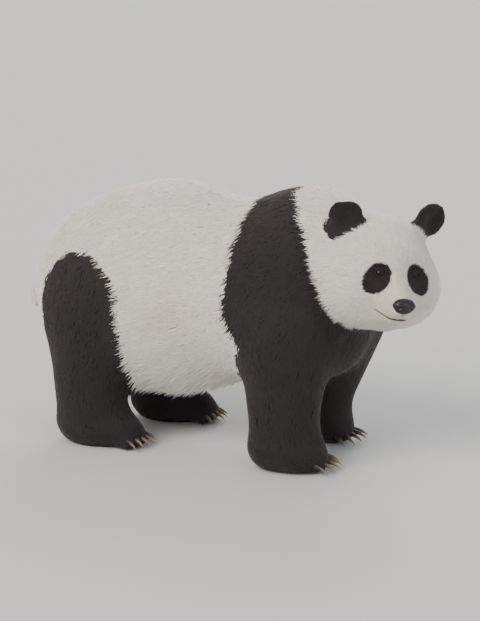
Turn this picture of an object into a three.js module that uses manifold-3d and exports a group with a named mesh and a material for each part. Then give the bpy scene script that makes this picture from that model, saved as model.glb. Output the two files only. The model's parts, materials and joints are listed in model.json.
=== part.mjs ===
// A life-size still model of an adult giant panda that stands on all fours, its head turned to its right.
//
// Millimetres. +X is the way the trunk faces, +Y the animal's left, +Z up, and the soles stand on Z = 0.
// Every surface is that of the coat, out to the tips of the hair. The body is modelled whole, as one smooth
// field of blended masses, and is then parted by thin cuts into the pieces that a person would name.

import * as THREE from "three";
import { mergeVertices } from "three/addons/utils/BufferGeometryUtils.js";
import Module from "manifold-3d";

const wasm = await Module();
wasm.setup();

const { degToRad, lerp, clamp } = THREE.MathUtils;
const at = (x, y, z) => new THREE.Vector3(x, y, z);
const SIDES = { right: -1, left: 1 };

// ---------------------------------------------------------------- driving dimensions

const CUT = 0.4; // width of the cut between two pieces
const FAR = 1500; // reaches past the animal in every direction

// Masses of the trunk from tail to breast: each one's middle, and its half length, width and height.
const MASSES = [
  { name: "rump", middle: at(-272, 0, 456), half: at(250, 246, 247) },
  { name: "loin", middle: at(-80, 0, 464), half: at(316, 262, 314) },
  { name: "ribs", middle: at(212, 0, 474), half: at(250, 232, 259) },
  { name: "withers", middle: at(352, 0, 592), half: at(160, 138, 172) },
  { name: "breast", middle: at(400, 0, 405), half: at(136, 152, 165) },
];
const TRUNK_BLEND = 95;

const NECK = { from: at(385, -4, 606), to: at(530, -38, 584), thick: [168, 142], blend: 80 };

// Each leg from its root in the trunk to its ankle, with its half thickness fore and aft at both ends, and
// its foot. A leg's width from side to side is LEG_FLAT of its thickness.
const LEG_FLAT = 0.82;
const TOE_IN = { fore: 9, hind: -3 }; // degrees that a foot turns towards the middle of the body
const LEGS = [
  {
    pair: "fore", side: "right", thick: [130, 98],
    root: at(340, -158, 380), ankle: at(340, -156, 96), paw: at(356, -156, 52),
  },
  {
    pair: "fore", side: "left", thick: [132, 94],
    root: at(392, 158, 380), ankle: at(306, 152, 96), paw: at(322, 150, 52),
  },
  {
    pair: "hind", side: "right", thick: [124, 106],
    root: at(-290, -160, 372), ankle: at(-282, -158, 96), paw: at(-250, -158, 50),
  },
  {
    pair: "hind", side: "left", thick: [122, 106],
    root: at(-222, 160, 372), ankle: at(-200, 156, 96), paw: at(-166, 154, 50),
  },
];
const LEG_BLEND = 70;
const PAWS = {
  fore: { half: at(112, 80, 60), toe: at(34, 20, 27), reach: 86, spread: 15, claw: 30 },
  hind: { half: at(136, 76, 58), toe: at(32, 19, 25), reach: 112, spread: 11, claw: 23 },
};
const TOES = 5;
const CLAW = { root: 7.5, curl: 14, sink: 14, height: 31 };

// The arch that parts a leg from the trunk, seen from the side, and the level cuts at the knee or elbow and
// at the wrist.
const ARCH = {
  fore: { half: 130, top: 455 },
  hind: { half: 130, top: 588 },
};
const ARCH_INNER = 34; // distance of the arch's inner wall from the middle of the body
const KNEE_HEIGHT = 232;
const WRIST_HEIGHT = 92;
const GROIN_HEIGHT = 132; // nothing but legs lies below this

const BAND = { middle: at(190, 0, 0) }; // where the dark shoulder band meets the pale flank
const NAPE = { behind: 76, yaw: 14, lean: -22 }; // the cut between head and neck, in the head's frame
const COLLAR = { middle: at(400, 0, 650), pitch: -33 }; // the cut between neck and shoulders
const THROAT_HEIGHT = 455; // the neck's piece ends above this, and the breast is below

const TAIL = { root: at(-500, 0, 488), tip: at(-548, 0, 388), thick: [38, 34], blend: 22, cut: 452 };

// The head, in its own frame, from the middle of the skull: +X out of the face, +Y its left, +Z its crown.
const HEAD = { middle: at(596, -78, 566), yaw: -50, pitch: 1, roll: -5 };
const SKULL_MASSES = [
  { name: "cranium", middle: at(-16, 0, 34), half: at(136, 128, 126) },
  { name: "face", middle: at(53, 0, -6), half: at(84, 104, 92) },
  { name: "throat", middle: at(14, 0, -82), half: at(104, 96, 66) },
];
const CHEEK = { middle: at(2, 80, -34), half: at(98, 84, 98) };
const SKULL_BLEND = 40;
const MUZZLE = { middle: at(127, 0, -55), half: at(70, 45, 42), blend: 20 };
const BRIDGE = { from: at(84, 0, 14), to: at(158, 0, -28), thick: [33, 24], blend: 26 };
const CHIN = { middle: at(120, 0, -92), half: at(58, 35, 29), blend: 16 };
const SOCKET = { middle: at(136, 47, 25), half: at(26, 30, 25), blend: 26 };
const PATCH = { middle: at(97, 60, 15), half: at(38, 30, 47), slant: 33 }; // the dark patch round each eye
const JAW = { middle: at(98, 0, -126), half: at(80, 46, 40) }; // the lower jaw is what lies in this
const EYE = { middle: at(103, 47, 27), radius: 14 };
const NOSE = {
  middle: at(188, 0, -41),
  half: at(15, 32, 18),
  tip: at(12, 16, 12),
  drop: 13,
  nostril: at(9, 6, 4.5),
  nostrilAside: 14,
};

// An ear is a cupped disc. It points out of the skull at LEAN from the crown and faces FACING outwards.
const EAR = {
  reach: 195,
  lean: 38,
  facing: 24,
  half: at(21, 50, 53),
  cup: at(25, 35, 38),
  cupAhead: 24,
  blend: 12,
  cut: 162,
  zone: at(62, 70, 110),
};

// ---------------------------------------------------------------- fields

// Distance to an ellipsoid, good near its surface.
function ellipsoid(middle, half) {
  return (p) => {
    const x = (p.x - middle.x) / half.x;
    const y = (p.y - middle.y) / half.y;
    const z = (p.z - middle.z) / half.z;
    const near = Math.hypot(x, y, z);
    const slope = Math.hypot(x / half.x, y / half.y, z / half.z);
    return slope < 1e-9 ? -Math.min(half.x, half.y, half.z) : (near * (near - 1)) / slope;
  };
}

// Distance to a limb that tapers from one thickness to another and is narrower from side to side by flat.
function limb(from, to, [thickFrom, thickTo], flat = 1) {
  const run = to.clone().sub(from);
  const offset = new THREE.Vector3();
  return (p) => {
    offset.copy(p).sub(from);
    const share = clamp(offset.dot(run) / run.lengthSq(), 0, 1);
    offset.addScaledVector(run, -share);
    return Math.hypot(offset.x, offset.y / flat, offset.z) - lerp(thickFrom, thickTo, share);
  };
}

// The same shape, drawn in a frame of its own.
function placed(shape, frame) {
  const back = frame.clone().invert();
  const local = new THREE.Vector3();
  return (p) => shape(local.copy(p).applyMatrix4(back));
}

// Joins shapes with a soft crease of about the given width.
function blend(width, ...shapes) {
  return (p) =>
    shapes.reduce((nearest, shape) => {
      const next = shape(p);
      const overlap = Math.max(width - Math.abs(nearest - next), 0);
      return Math.min(nearest, next) - (overlap * overlap) / (4 * width);
    }, FAR);
}

// Hollows one shape out by another, with a soft rim.
function hollow(width, shape, ...tools) {
  return (p) =>
    tools.reduce((kept, tool) => {
      const out = -tool(p);
      const overlap = Math.max(width - Math.abs(kept - out), 0);
      return Math.max(kept, out) + (overlap * overlap) / (4 * width);
    }, shape(p));
}

function grown(shape, by) {
  return (p) => shape(p) - by;
}

function frameOf({ middle, yaw = 0, pitch = 0, roll = 0 }) {
  const turn = new THREE.Euler(degToRad(roll), degToRad(pitch), degToRad(yaw), "ZYX");
  return new THREE.Matrix4().makeRotationFromEuler(turn).setPosition(middle);
}

const mirrored = (v, side) => at(v.x, v.y * side, v.z);

// ---------------------------------------------------------------- masses of the animal

function trunkField() {
  return blend(TRUNK_BLEND, ...MASSES.map(({ middle, half }) => ellipsoid(middle, half)));
}

function legField(leg) {
  const { root, ankle, thick, paw, pair, side } = leg;
  const shank = limb(root, ankle, thick, LEG_FLAT);
  const pad = ellipsoid(at(0, 0, 0), PAWS[pair].half);
  const foot = placed(pad, frameOf({ middle: paw, yaw: -TOE_IN[pair] * SIDES[side] }));
  return blend(14, blend(50, shank, foot), ...toesOf(leg).map(toeField));
}

// Frames of a foot's toes: +X out of the toe's tip, from the middle of the toe.
function toesOf({ paw, pair, side }) {
  const { reach, spread, toe } = PAWS[pair];
  const foot = frameOf({ middle: at(paw.x, paw.y, 0), yaw: -TOE_IN[pair] * SIDES[side] });
  return Array.from({ length: TOES }, (_, i) => {
    const yaw = (i - (TOES - 1) / 2) * spread;
    const middle = at(reach * Math.cos(degToRad(yaw)), reach * 0.9 * Math.sin(degToRad(yaw)), toe.z);
    return { frame: foot.clone().multiply(frameOf({ middle, yaw })), toe, claw: PAWS[pair].claw };
  });
}

function toeField({ frame, toe }) {
  return placed(ellipsoid(at(0, 0, 0), toe), frame);
}

function earFrame(side) {
  const lean = degToRad(EAR.lean);
  const middle = at(-4, side * EAR.reach * Math.sin(lean), EAR.reach * Math.cos(lean));
  const turn = frameOf({ middle: at(0, 0, 0), yaw: EAR.facing * side });
  return frameOf({ middle, roll: -EAR.lean * side }).multiply(turn);
}

function earField(side) {
  const disc = ellipsoid(at(0, 0, 0), EAR.half);
  const cup = ellipsoid(at(EAR.cupAhead, 0, 4), EAR.cup);
  return placed(hollow(8, disc, cup), earFrame(side));
}

function skullField() {
  const sides = Object.values(SIDES);
  const cheeks = sides.map((side) => ellipsoid(mirrored(CHEEK.middle, side), CHEEK.half));
  const masses = SKULL_MASSES.map(({ middle, half }) => ellipsoid(middle, half));
  const skull = blend(SKULL_BLEND, ...masses, ...cheeks);
  const bridged = blend(BRIDGE.blend, skull, limb(BRIDGE.from, BRIDGE.to, BRIDGE.thick));
  const snout = blend(MUZZLE.blend, bridged, ellipsoid(MUZZLE.middle, MUZZLE.half));
  const jaw = blend(CHIN.blend, snout, ellipsoid(CHIN.middle, CHIN.half));
  const sockets = sides.map((side) => ellipsoid(mirrored(SOCKET.middle, side), SOCKET.half));
  return blend(EAR.blend, hollow(SOCKET.blend, jaw, ...sockets), ...sides.map(earField));
}

// The nose pad: a rounded triangle, wide above and narrow below, with two nostrils.
function noseField() {
  const { middle, half, tip, drop, nostril, nostrilAside } = NOSE;
  const pad = blend(16, ellipsoid(middle, half), ellipsoid(at(middle.x - 2, 0, middle.z - drop), tip));
  const nostrils = Object.values(SIDES).map((side) =>
    ellipsoid(at(middle.x + half.x - 2, side * nostrilAside, middle.z - 3), nostril));
  return { pad, carved: hollow(3, pad, ...nostrils) };
}

const headFrame = frameOf(HEAD);
const trunk = trunkField();
const tail = limb(TAIL.root, TAIL.tip, TAIL.thick);
const neck = limb(NECK.from, NECK.to, NECK.thick);
const body = blend(TAIL.blend, blend(NECK.blend, trunk, neck), tail);
const animal = blend(38, blend(LEG_BLEND, body, ...LEGS.map(legField)), placed(skullField(), headFrame));

// ---------------------------------------------------------------- fields to solids

function gradient(shape, p, step = 0.5) {
  const probe = p.clone();
  const slope = at(0, 0, 0);
  for (const axis of ["x", "y", "z"]) {
    probe[axis] = p[axis] + step;
    const ahead = shape(probe);
    probe[axis] = p[axis] - step;
    slope[axis] = (ahead - shape(probe)) / (2 * step);
    probe[axis] = p[axis];
  }
  return slope;
}

// Moves a point onto the surface along the slope of the field.
function settle(shape, p, rounds = 3) {
  for (let i = 0; i < rounds; i++) {
    const slope = gradient(shape, p);
    p.addScaledVector(slope, -shape(p) / Math.max(slope.lengthSq(), 0.05));
  }
  return p;
}

// Grid lines along an axis: from a start, each stretch gives the value it runs to and its step.
function lines(start, ...stretches) {
  const places = [start];
  for (const [end, step] of stretches) {
    const from = places.at(-1);
    const count = Math.max(Math.round((end - from) / step), 1);
    for (let n = 1; n <= count; n++) places.push(lerp(from, end, n / count));
  }
  return places;
}

// A closed mesh of a field inside a grid: one vertex in each cell that the surface crosses, and one quad
// round each grid edge that it crosses. The vertices are then evened out and settled on the surface.
function polygonise(field, { xs, ys, zs }, rounds = 3) {
  const inner = (places) => [lerp(places[0], places[1], 0.8), lerp(places.at(-1), places.at(-2), 0.8)];
  const [[x0, x1], [y0, y1], [z0, z1]] = [xs, ys, zs].map(inner);
  const wall = boxField(at(x0, y0, z0), at(x1, y1, z1));
  const shape = (p) => Math.max(field(p), wall(p));
  const size = at(xs.length, ys.length, zs.length);
  const index = (i, j, k) => i + size.x * (j + size.y * k);
  const point = (i, j, k) => at(xs[i], ys[j], zs[k]);
  const value = new Float32Array(size.x * size.y * size.z);
  forEachCell(size, (i, j, k) => {
    value[index(i, j, k)] = shape(point(i, j, k));
  });

  const vertexIn = new Map();
  const vertices = [];
  forEachCell(size.clone().addScalar(-1), (i, j, k) => {
    const crossings = [];
    for (const [a, b] of CELL_EDGES) {
      const va = value[index(i + a[0], j + a[1], k + a[2])];
      const vb = value[index(i + b[0], j + b[1], k + b[2])];
      if (va < 0 !== vb < 0) {
        const ends = [point(i + a[0], j + a[1], k + a[2]), point(i + b[0], j + b[1], k + b[2])];
        crossings.push(ends[0].lerp(ends[1], va / (va - vb)));
      }
    }
    if (!crossings.length) return;
    vertexIn.set(index(i, j, k), vertices.length);
    vertices.push(crossings.reduce((sum, c) => sum.add(c), at(0, 0, 0)).divideScalar(crossings.length));
  });

  const quads = [];
  forEachCell(size, (i, j, k) => {
    const here = value[index(i, j, k)] < 0;
    for (let axis = 0; axis < 3; axis++) {
      const next = [i, j, k];
      next[axis] += 1;
      if (next[axis] >= size.getComponent(axis) || value[index(...next)] < 0 === here) continue;
      const round = AROUND[axis].map(([di, dj, dk]) => vertexIn.get(index(i + di, j + dj, k + dk)));
      quads.push(here ? round : round.reverse());
    }
  });
  evenOut(shape, vertices, quads, rounds);
  return solidOf(geometryFrom(vertices, quads));
}

function forEachCell(size, visit) {
  for (let k = 0; k < size.z; k++)
    for (let j = 0; j < size.y; j++)
      for (let i = 0; i < size.x; i++) visit(i, j, k);
}

const CORNERS = Array.from({ length: 8 }, (_, n) => [n & 1, (n >> 1) & 1, (n >> 2) & 1]);
const CELL_EDGES = CORNERS.flatMap((a) =>
  [0, 1, 2].filter((axis) => !a[axis]).map((axis) => [a, a.map((c, n) => (n === axis ? 1 : c))]),
);
// The four cells round a grid edge along each axis, in right-hand order about it.
const AROUND = [
  [[0, 0, 0], [0, -1, 0], [0, -1, -1], [0, 0, -1]],
  [[0, 0, 0], [0, 0, -1], [-1, 0, -1], [-1, 0, 0]],
  [[0, 0, 0], [-1, 0, 0], [-1, -1, 0], [0, -1, 0]],
];

function evenOut(shape, vertices, quads, rounds) {
  for (let round = 0; round < rounds; round++) {
    const sums = vertices.map(() => at(0, 0, 0));
    const counts = new Uint8Array(vertices.length);
    for (const quad of quads)
      quad.forEach((v, n) => {
        sums[v].add(vertices[quad[(n + 1) % 4]]);
        counts[v] += 1;
      });
    vertices.forEach((v, n) => settle(shape, v.lerp(sums[n].divideScalar(counts[n]), 0.6), 2));
  }
}

// Quads as triangles, split along the shorter diagonal.
function geometryFrom(vertices, quads) {
  const triangles = quads.flatMap(([a, b, c, d]) =>
    vertices[a].distanceToSquared(vertices[c]) < vertices[b].distanceToSquared(vertices[d])
      ? [a, b, c, a, c, d]
      : [a, b, d, b, c, d],
  );
  return new THREE.BufferGeometry().setFromPoints(vertices).setIndex(triangles);
}

function boxField(low, high) {
  return (p) =>
    Math.max(low.x - p.x, p.x - high.x, low.y - p.y, p.y - high.y, low.z - p.z, p.z - high.z);
}

// ---------------------------------------------------------------- solids and cuts

function solidOf(geometry) {
  const bare = geometry.index ? geometry.toNonIndexed() : geometry.clone();
  for (const name of Object.keys(bare.attributes)) if (name !== "position") bare.deleteAttribute(name);
  const merged = mergeVertices(bare, 1e-3);
  const vertProperties = merged.attributes.position.array;
  const triVerts = new Uint32Array(merged.index.array);
  return new wasm.Manifold(new wasm.Mesh({ numProp: 3, vertProperties, triVerts }));
}

// The cuts leave slivers. Each edge shorter than least is closed up, one end onto the other, where that
// keeps every vertex on the cut faces that it lies on and turns no facet over.
function thinned(solid, least, cutters) {
  const { vertProperties, triVerts, numProp } = solid.getMesh();
  const points = rowsOf(vertProperties, numProp).map(([x, y, z]) => at(x, y, z));
  const faces = rowsOf(triVerts, 3);
  const around = points.map(() => new Set());
  faces.forEach((face, f) => face.forEach((v) => around[v].add(f)));
  const planes = cutters.flatMap(planesOf);
  const lies = points.map((p) => planes.filter((plane) => Math.abs(plane.distanceToPoint(p)) < 2e-3));
  const neighbours = (v) => new Set([...around[v]].flatMap((f) => faces[f]).filter((n) => n !== v));

  const close = (a, b) => {
    if (!lies[a].every((plane) => lies[b].includes(plane))) return false;
    const near = neighbours(a);
    if ([...neighbours(b)].filter((n) => near.has(n)).length !== 2) return false;
    const kept = [...around[a]].filter((f) => !faces[f].includes(b));
    const moved = kept.map((f) => faces[f].map((v) => (v === a ? b : v)));
    if (!kept.every((f, n) => facing(points, faces[f]).dot(facing(points, moved[n])) > 0.7)) return false;
    kept.forEach((f, n) => {
      faces[f] = moved[n];
      around[b].add(f);
    });
    const closed = [...around[a]].filter((f) => !kept.includes(f));
    for (const f of closed) faces[f].forEach((v) => around[v].delete(f));
    around[a].clear();
    return true;
  };

  for (let changed = true; changed; ) {
    changed = false;
    const edges = [];
    points.forEach((p, a) => neighbours(a).forEach((b) => {
      const length = p.distanceTo(points[b]);
      if (length < least) edges.push({ a, b, length });
    }));
    edges.sort((one, other) => one.length - other.length);
    for (const { a, b } of edges) if (neighbours(a).has(b) && close(a, b)) changed = true;
  }
  const alive = faces.filter((face, f) => around[face[0]].has(f));
  return new THREE.BufferGeometry().setFromPoints(points).setIndex(alive.flat()).toNonIndexed();
}

// A flat array's values, so many to a row.
function rowsOf(values, width) {
  const count = values.length / width;
  return Array.from({ length: count }, (_, n) => [...values.subarray(n * width, (n + 1) * width)]);
}

function facing(points, [a, b, c]) {
  return new THREE.Triangle(points[a], points[b], points[c]).getNormal(at(0, 0, 0));
}

// The planes of a solid's faces.
function planesOf(solid) {
  const { vertProperties, triVerts } = solid.getMesh();
  const corner = (n) => at(...vertProperties.subarray(triVerts[n] * 3, triVerts[n] * 3 + 3));
  return Array.from({ length: triVerts.length / 3 }, (_, n) =>
    new THREE.Plane().setFromCoplanarPoints(corner(3 * n), corner(3 * n + 1), corner(3 * n + 2)));
}

function boxBetween(low, high) {
  const size = high.clone().sub(low);
  const middle = high.clone().add(low).multiplyScalar(0.5);
  return new THREE.BoxGeometry(size.x, size.y, size.z).translate(middle.x, middle.y, middle.z);
}

// Everything ahead of a plane that stands at the frame's middle and faces its +X, less the cut.
function aheadOf(frame, cut = 0) {
  return solidOf(boxBetween(at(-cut, -FAR, -FAR), at(FAR, FAR, FAR)).applyMatrix4(frame));
}

function below(height, cut = 0) {
  return solidOf(boxBetween(at(-FAR, -FAR, -FAR), at(FAR, FAR, height + cut)));
}

// The outline of a leg from the side, as a round arch, carried through the body's side.
function archOf({ pair, side, root, ankle }, cut = 0) {
  const half = ARCH[pair].half + cut;
  const middle = (root.x + ankle.x) / 2;
  const shape = new THREE.Shape();
  shape.moveTo(middle - half, -FAR);
  shape.lineTo(middle + half, -FAR);
  shape.absarc(middle, ARCH[pair].top - ARCH[pair].half, half, 0, Math.PI);
  const slab = new THREE.ExtrudeGeometry(shape, { depth: FAR, bevelEnabled: false, curveSegments: 9 });
  slab.rotateX(Math.PI / 2); // the outline's Y becomes Z, and the depth runs towards -Y
  slab.translate(0, SIDES[side] > 0 ? FAR + ARCH_INNER - cut : -ARCH_INNER + cut, 0);
  return solidOf(slab);
}

// A leg's share of the animal: its arch, and below the groin all that stands on its side.
function legZone(leg) {
  const [near, far] = SIDES[leg.side] > 0 ? [1, FAR] : [-FAR, -1];
  const [rear, front] = leg.pair === "fore" ? [0, FAR] : [-FAR, 0];
  return archOf(leg).add(solidOf(boxBetween(at(rear, near, -FAR), at(front, far, GROIN_HEIGHT - CUT))));
}

// A curved cone that points along the toe's +X and curls down to the floor.
function clawSolid({ frame, toe, claw }, cut = 0) {
  const cone = new THREE.ConeGeometry(CLAW.root + cut, claw + CLAW.sink + cut, 5, 2);
  cone.rotateZ(-Math.PI / 2);
  cone.translate((claw + CLAW.sink) / 2, 0, 0);
  const points = cone.attributes.position;
  for (let n = 0; n < points.count; n++) {
    const share = clamp(points.getX(n) / (claw + CLAW.sink), 0, 1);
    points.setZ(n, points.getZ(n) - CLAW.curl * share * share);
  }
  cone.translate(toe.x - CLAW.sink, 0, CLAW.height - toe.z - 4);
  return solidOf(cone.applyMatrix4(frame));
}

// ---------------------------------------------------------------- finishes

const finish = (color, roughness) => new THREE.MeshStandardMaterial({ color, roughness, metalness: 0 });
const FINISHES = {
  pale: finish(0xe9e3d4, 0.9),
  dark: finish(0x1b1917, 0.85),
  nose: finish(0x1a1918, 0.4),
  eye: finish(0x1c110b, 0.08),
  claw: finish(0x8c7f6c, 0.45),
};

const panda = new THREE.Group();
const groups = {};

// Adds one named piece to the model, with its place in the mesh's position, and gives back its solid.
function add(name, solid, material, group, least = 0, cutters = []) {
  const geometry = mergeVertices(thinned(solid, least, cutters), 1e-3);
  const added = solidOf(geometry);
  geometry.computeBoundingBox();
  const middle = geometry.boundingBox.getCenter(at(0, 0, 0));
  geometry.translate(-middle.x, -middle.y, -middle.z);
  geometry.computeVertexNormals();
  const mesh = new THREE.Mesh(geometry, material);
  mesh.name = name;
  mesh.position.copy(middle);
  groups[group] ??= panda.add(new THREE.Group()).children.at(-1);
  groups[group].add(mesh);
  return added;
}

// ---------------------------------------------------------------- parting the animal

// Parts a whole along zones, in turn. A zone is a function from the width of the cut to a solid, and what
// lies in none of them is the last piece. Gives back the pieces in order.
function part(whole, pieces, last, group, least, cutters) {
  let rest = whole;
  const walls = [...cutters, ...pieces.flatMap(({ zone }) => [zone(0), zone(CUT)])];
  const parted = pieces.map(({ name, zone, material }) => {
    const piece = rest.intersect(zone(0));
    rest = rest.subtract(zone(CUT));
    return add(name, piece, material, group, least, walls);
  });
  return [...parted, add(last.name, rest, last.material, group, least, walls)];
}

const floor = below(0);
const nape = frameOf({ middle: at(-NAPE.behind, 0, 0), yaw: NAPE.yaw, pitch: NAPE.lean });
const napeFrame = headFrame.clone().multiply(nape);

function partBody() {
  const grid = {
    xs: lines(-650, [-500, 36], [640, 51]),
    ys: lines(-330, [330, 51]),
    zs: lines(80, [860, 51]),
  };
  const cutters = [below(GROIN_HEIGHT), aheadOf(napeFrame, CUT), ...LEGS.map((leg) => archOf(leg, CUT))];
  const tailZone = (cut) => solidOf(boxBetween(
    at(-FAR, -70 - cut, -FAR), at(TAIL.root.x - 8 + cut, 70 + cut, TAIL.cut + cut)));
  const tailGrid = { xs: lines(-630, [-480, 23]), ys: lines(-80, [80, 23]), zs: lines(320, [490, 23]) };
  const tailPiece = polygonise(animal, tailGrid).intersect(tailZone(0));
  add("tail", tailPiece, FINISHES.pale, "trunk", 12, [tailZone(0)]);
  cutters.push(tailZone(CUT));

  const whole = cutters.reduce((rest, cutter) => rest.subtract(cutter), polygonise(animal, grid));
  const neckZone = (cut) => aheadOf(frameOf(COLLAR), cut).subtract(below(THROAT_HEIGHT, -cut));
  const pieces = [
    { name: "neck", zone: neckZone, material: FINISHES.pale },
    { name: "shoulders", zone: (cut) => aheadOf(frameOf(BAND), cut), material: FINISHES.dark },
  ];
  part(whole, pieces, { name: "trunk", material: FINISHES.pale }, "trunk", 30, cutters);
}

const LEG_NAMES = { fore: ["upper_arm", "forearm", "forepaw"], hind: ["thigh", "shank", "hindpaw"] };

function partLeg(leg) {
  const [upper, lower, foot] = LEG_NAMES[leg.pair];
  const middle = (leg.root.x + leg.ankle.x) / 2;
  const side = SIDES[leg.side];
  const across = lines(-20, [60, 40], [230, 26], [330, 30]);
  const grid = {
    xs: lines(middle - 210, [middle + 60, 35], [middle + 250, 26]),
    ys: side > 0 ? across : across.map((y) => -y).reverse(),
    zs: lines(-30, [WRIST_HEIGHT, 21.5], [KNEE_HEIGHT, 42], [650, 50]),
  };
  const zone = legZone(leg);
  const whole = polygonise(animal, grid).intersect(zone).subtract(floor);
  const group = leg.pair + leg.side;
  const pieces = [
    { name: `${foot}_${leg.side}`, zone: (cut) => below(WRIST_HEIGHT, cut), material: FINISHES.dark },
    { name: `${lower}_${leg.side}`, zone: (cut) => below(KNEE_HEIGHT, cut), material: FINISHES.dark },
  ];
  const last = { name: `${upper}_${leg.side}`, material: FINISHES.dark };
  const [paw] = part(whole, pieces, last, group, 16, [zone, floor]);

  // A claw starts from the toe's surface, the width of a cut away from it.
  toesOf(leg).forEach((toe, n) => {
    const ahead = at(1, 0, 0).transformDirection(toe.frame).multiplyScalar(2 * CUT);
    const cutters = [paw, paw.translate(ahead.toArray())];
    const claw = cutters.reduce((rest, cutter) => rest.subtract(cutter), clawSolid(toe));
    add(`claw_${leg.pair}_${leg.side}_${n + 1}`, claw, FINISHES.claw, group, 2.5, cutters);
  });
}

function partHead() {
  const inHead = (geometry) => solidOf(geometry.applyMatrix4(headFrame));
  const fieldInHead = placed(animal, headFrame.clone().invert());
  const carve = (grid, field = fieldInHead) => polygonise(field, grid).transform(headFrame.elements);
  const whole = carve({
    xs: lines(-200, [40, 30], [90, 17], [223, 14]),
    ys: lines(-260, [-96, 30], [-20, 15], [20, 13.4], [96, 15], [205, 30]),
    zs: lines(-200, [-112, 30], [62, 15], [220, 30]),
  });

  const { pad, carved } = noseField();
  const noseGrid = { xs: lines(152, [222, 10]), ys: lines(-50, [50, 11]), zs: lines(-90, [2, 11]) };
  add("nose", carve(noseGrid, carved), FINISHES.nose, "head");
  const front = aheadOf(napeFrame);
  const cutters = [carve(noseGrid, grown(pad, 2 * CUT))];

  const pieces = [];
  for (const [side, sign] of Object.entries(SIDES)) {
    const lean = degToRad(EAR.lean) * sign;
    const zone = (cut) => inHead(boxBetween(
      at(-EAR.zone.x, -EAR.zone.y, EAR.cut - cut),
      at(EAR.zone.x, EAR.zone.y, EAR.cut + EAR.zone.z),
    ).rotateX(-lean));
    const turn = earFrame(sign);
    const inEar = polygonise(placed(fieldInHead, turn.clone().invert()), {
      xs: lines(-50, [50, 9]),
      ys: lines(-80, [80, 14]),
      zs: lines(-80, [80, 14]),
    });
    const ear = inEar.transform(headFrame.clone().multiply(turn).elements).intersect(zone(0));
    add(`ear_${side}`, ear, FINISHES.dark, "head", 5, [zone(0)]);

    const eye = (cut) => inHead(new THREE.SphereGeometry(EYE.radius + cut, 11, 7)
      .translate(EYE.middle.x, EYE.middle.y * sign, EYE.middle.z));
    add(`eye_${side}`, eye(0), FINISHES.eye, "head");
    cutters.push(zone(CUT), eye(CUT));
    const patch = (cut) => inHead(plugShape(PATCH, cut, sign));
    pieces.push({ name: `eye_patch_${side}`, zone: patch, material: FINISHES.dark });
  }
  const jaw = (cut) => inHead(plugShape(JAW, cut));
  pieces.push({ name: "lower_jaw", zone: jaw, material: FINISHES.pale });
  const head = cutters.reduce((rest, cutter) => rest.subtract(cutter), whole.intersect(front));
  part(head, pieces, { name: "head", material: FINISHES.pale }, "head", 9.5, [front, ...cutters]);
}

// An egg-shaped plug set into the head, slanting outwards as it goes down.
function plugShape({ middle, half, slant = 0 }, cut, sign = 1) {
  const plug = new THREE.SphereGeometry(1, 13, 8);
  plug.scale(half.x + cut, half.y + cut, half.z + cut);
  plug.rotateX(degToRad(slant) * sign);
  return plug.translate(middle.x, middle.y * sign, middle.z);
}

partBody();
LEGS.forEach(partLeg);
partHead();

// The origin is on the floor, under the middle of the model's box.
const bounds = new THREE.Box3().setFromObject(panda, true);
panda.position.set(-(bounds.min.x + bounds.max.x) / 2, -(bounds.min.y + bounds.max.y) / 2, 0);

export default panda;
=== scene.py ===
"""A life-size still model of an adult giant panda, standing with its head turned to its right, dressed in its coat.

Metres, in the row frame: +X is the way the trunk faces, +Y the animal's left and +Z up, with the soles on Z = 0. One
hide replaces the flesh of the solids and lies inside them by the depth of the coat. Locks of hair stand on it, and
their tips reach the solids' surface. Sizes in the classes below are in millimetres.
"""

import sys

import json
import logging
import math
from dataclasses import dataclass, field
from enum import Enum

import bmesh
import bpy
import numpy as np
from mathutils import Matrix, Vector
from mathutils.bvhtree import BVHTree
from mathutils.kdtree import KDTree

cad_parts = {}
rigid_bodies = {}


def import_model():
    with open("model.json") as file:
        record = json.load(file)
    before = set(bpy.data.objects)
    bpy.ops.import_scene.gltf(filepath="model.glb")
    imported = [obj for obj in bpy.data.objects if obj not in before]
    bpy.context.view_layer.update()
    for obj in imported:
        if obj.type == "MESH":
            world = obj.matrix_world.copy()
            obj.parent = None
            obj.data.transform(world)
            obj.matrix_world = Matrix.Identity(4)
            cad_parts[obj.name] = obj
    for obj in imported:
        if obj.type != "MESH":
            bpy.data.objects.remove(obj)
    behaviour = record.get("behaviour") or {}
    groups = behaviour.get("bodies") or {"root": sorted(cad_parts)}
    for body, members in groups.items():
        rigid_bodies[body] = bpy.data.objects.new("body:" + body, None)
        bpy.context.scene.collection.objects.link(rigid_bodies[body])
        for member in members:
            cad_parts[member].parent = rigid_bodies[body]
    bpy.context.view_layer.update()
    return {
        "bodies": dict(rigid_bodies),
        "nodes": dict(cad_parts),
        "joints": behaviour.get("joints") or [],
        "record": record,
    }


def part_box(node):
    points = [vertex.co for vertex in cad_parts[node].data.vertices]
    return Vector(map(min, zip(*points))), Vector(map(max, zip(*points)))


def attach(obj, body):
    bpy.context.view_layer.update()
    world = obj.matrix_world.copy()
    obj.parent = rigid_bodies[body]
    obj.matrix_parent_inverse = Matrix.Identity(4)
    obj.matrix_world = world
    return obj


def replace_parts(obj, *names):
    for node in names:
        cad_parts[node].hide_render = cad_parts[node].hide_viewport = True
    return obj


MM = 0.001
SEED = 7
BODY = "root"
SIDES = {"right": -1, "left": 1}
BAKE_MAP = "OFBake"  # the unwrap that a piece's colours are baked through
LOG = logging.getLogger("panda")

Array = np.ndarray
Profile = tuple[tuple[float, float], ...]  # a border as pairs of a height and where it then lies
Extra = tuple[tuple[str, float], ...]  # what is added to the hair's sizes somewhere


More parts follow.
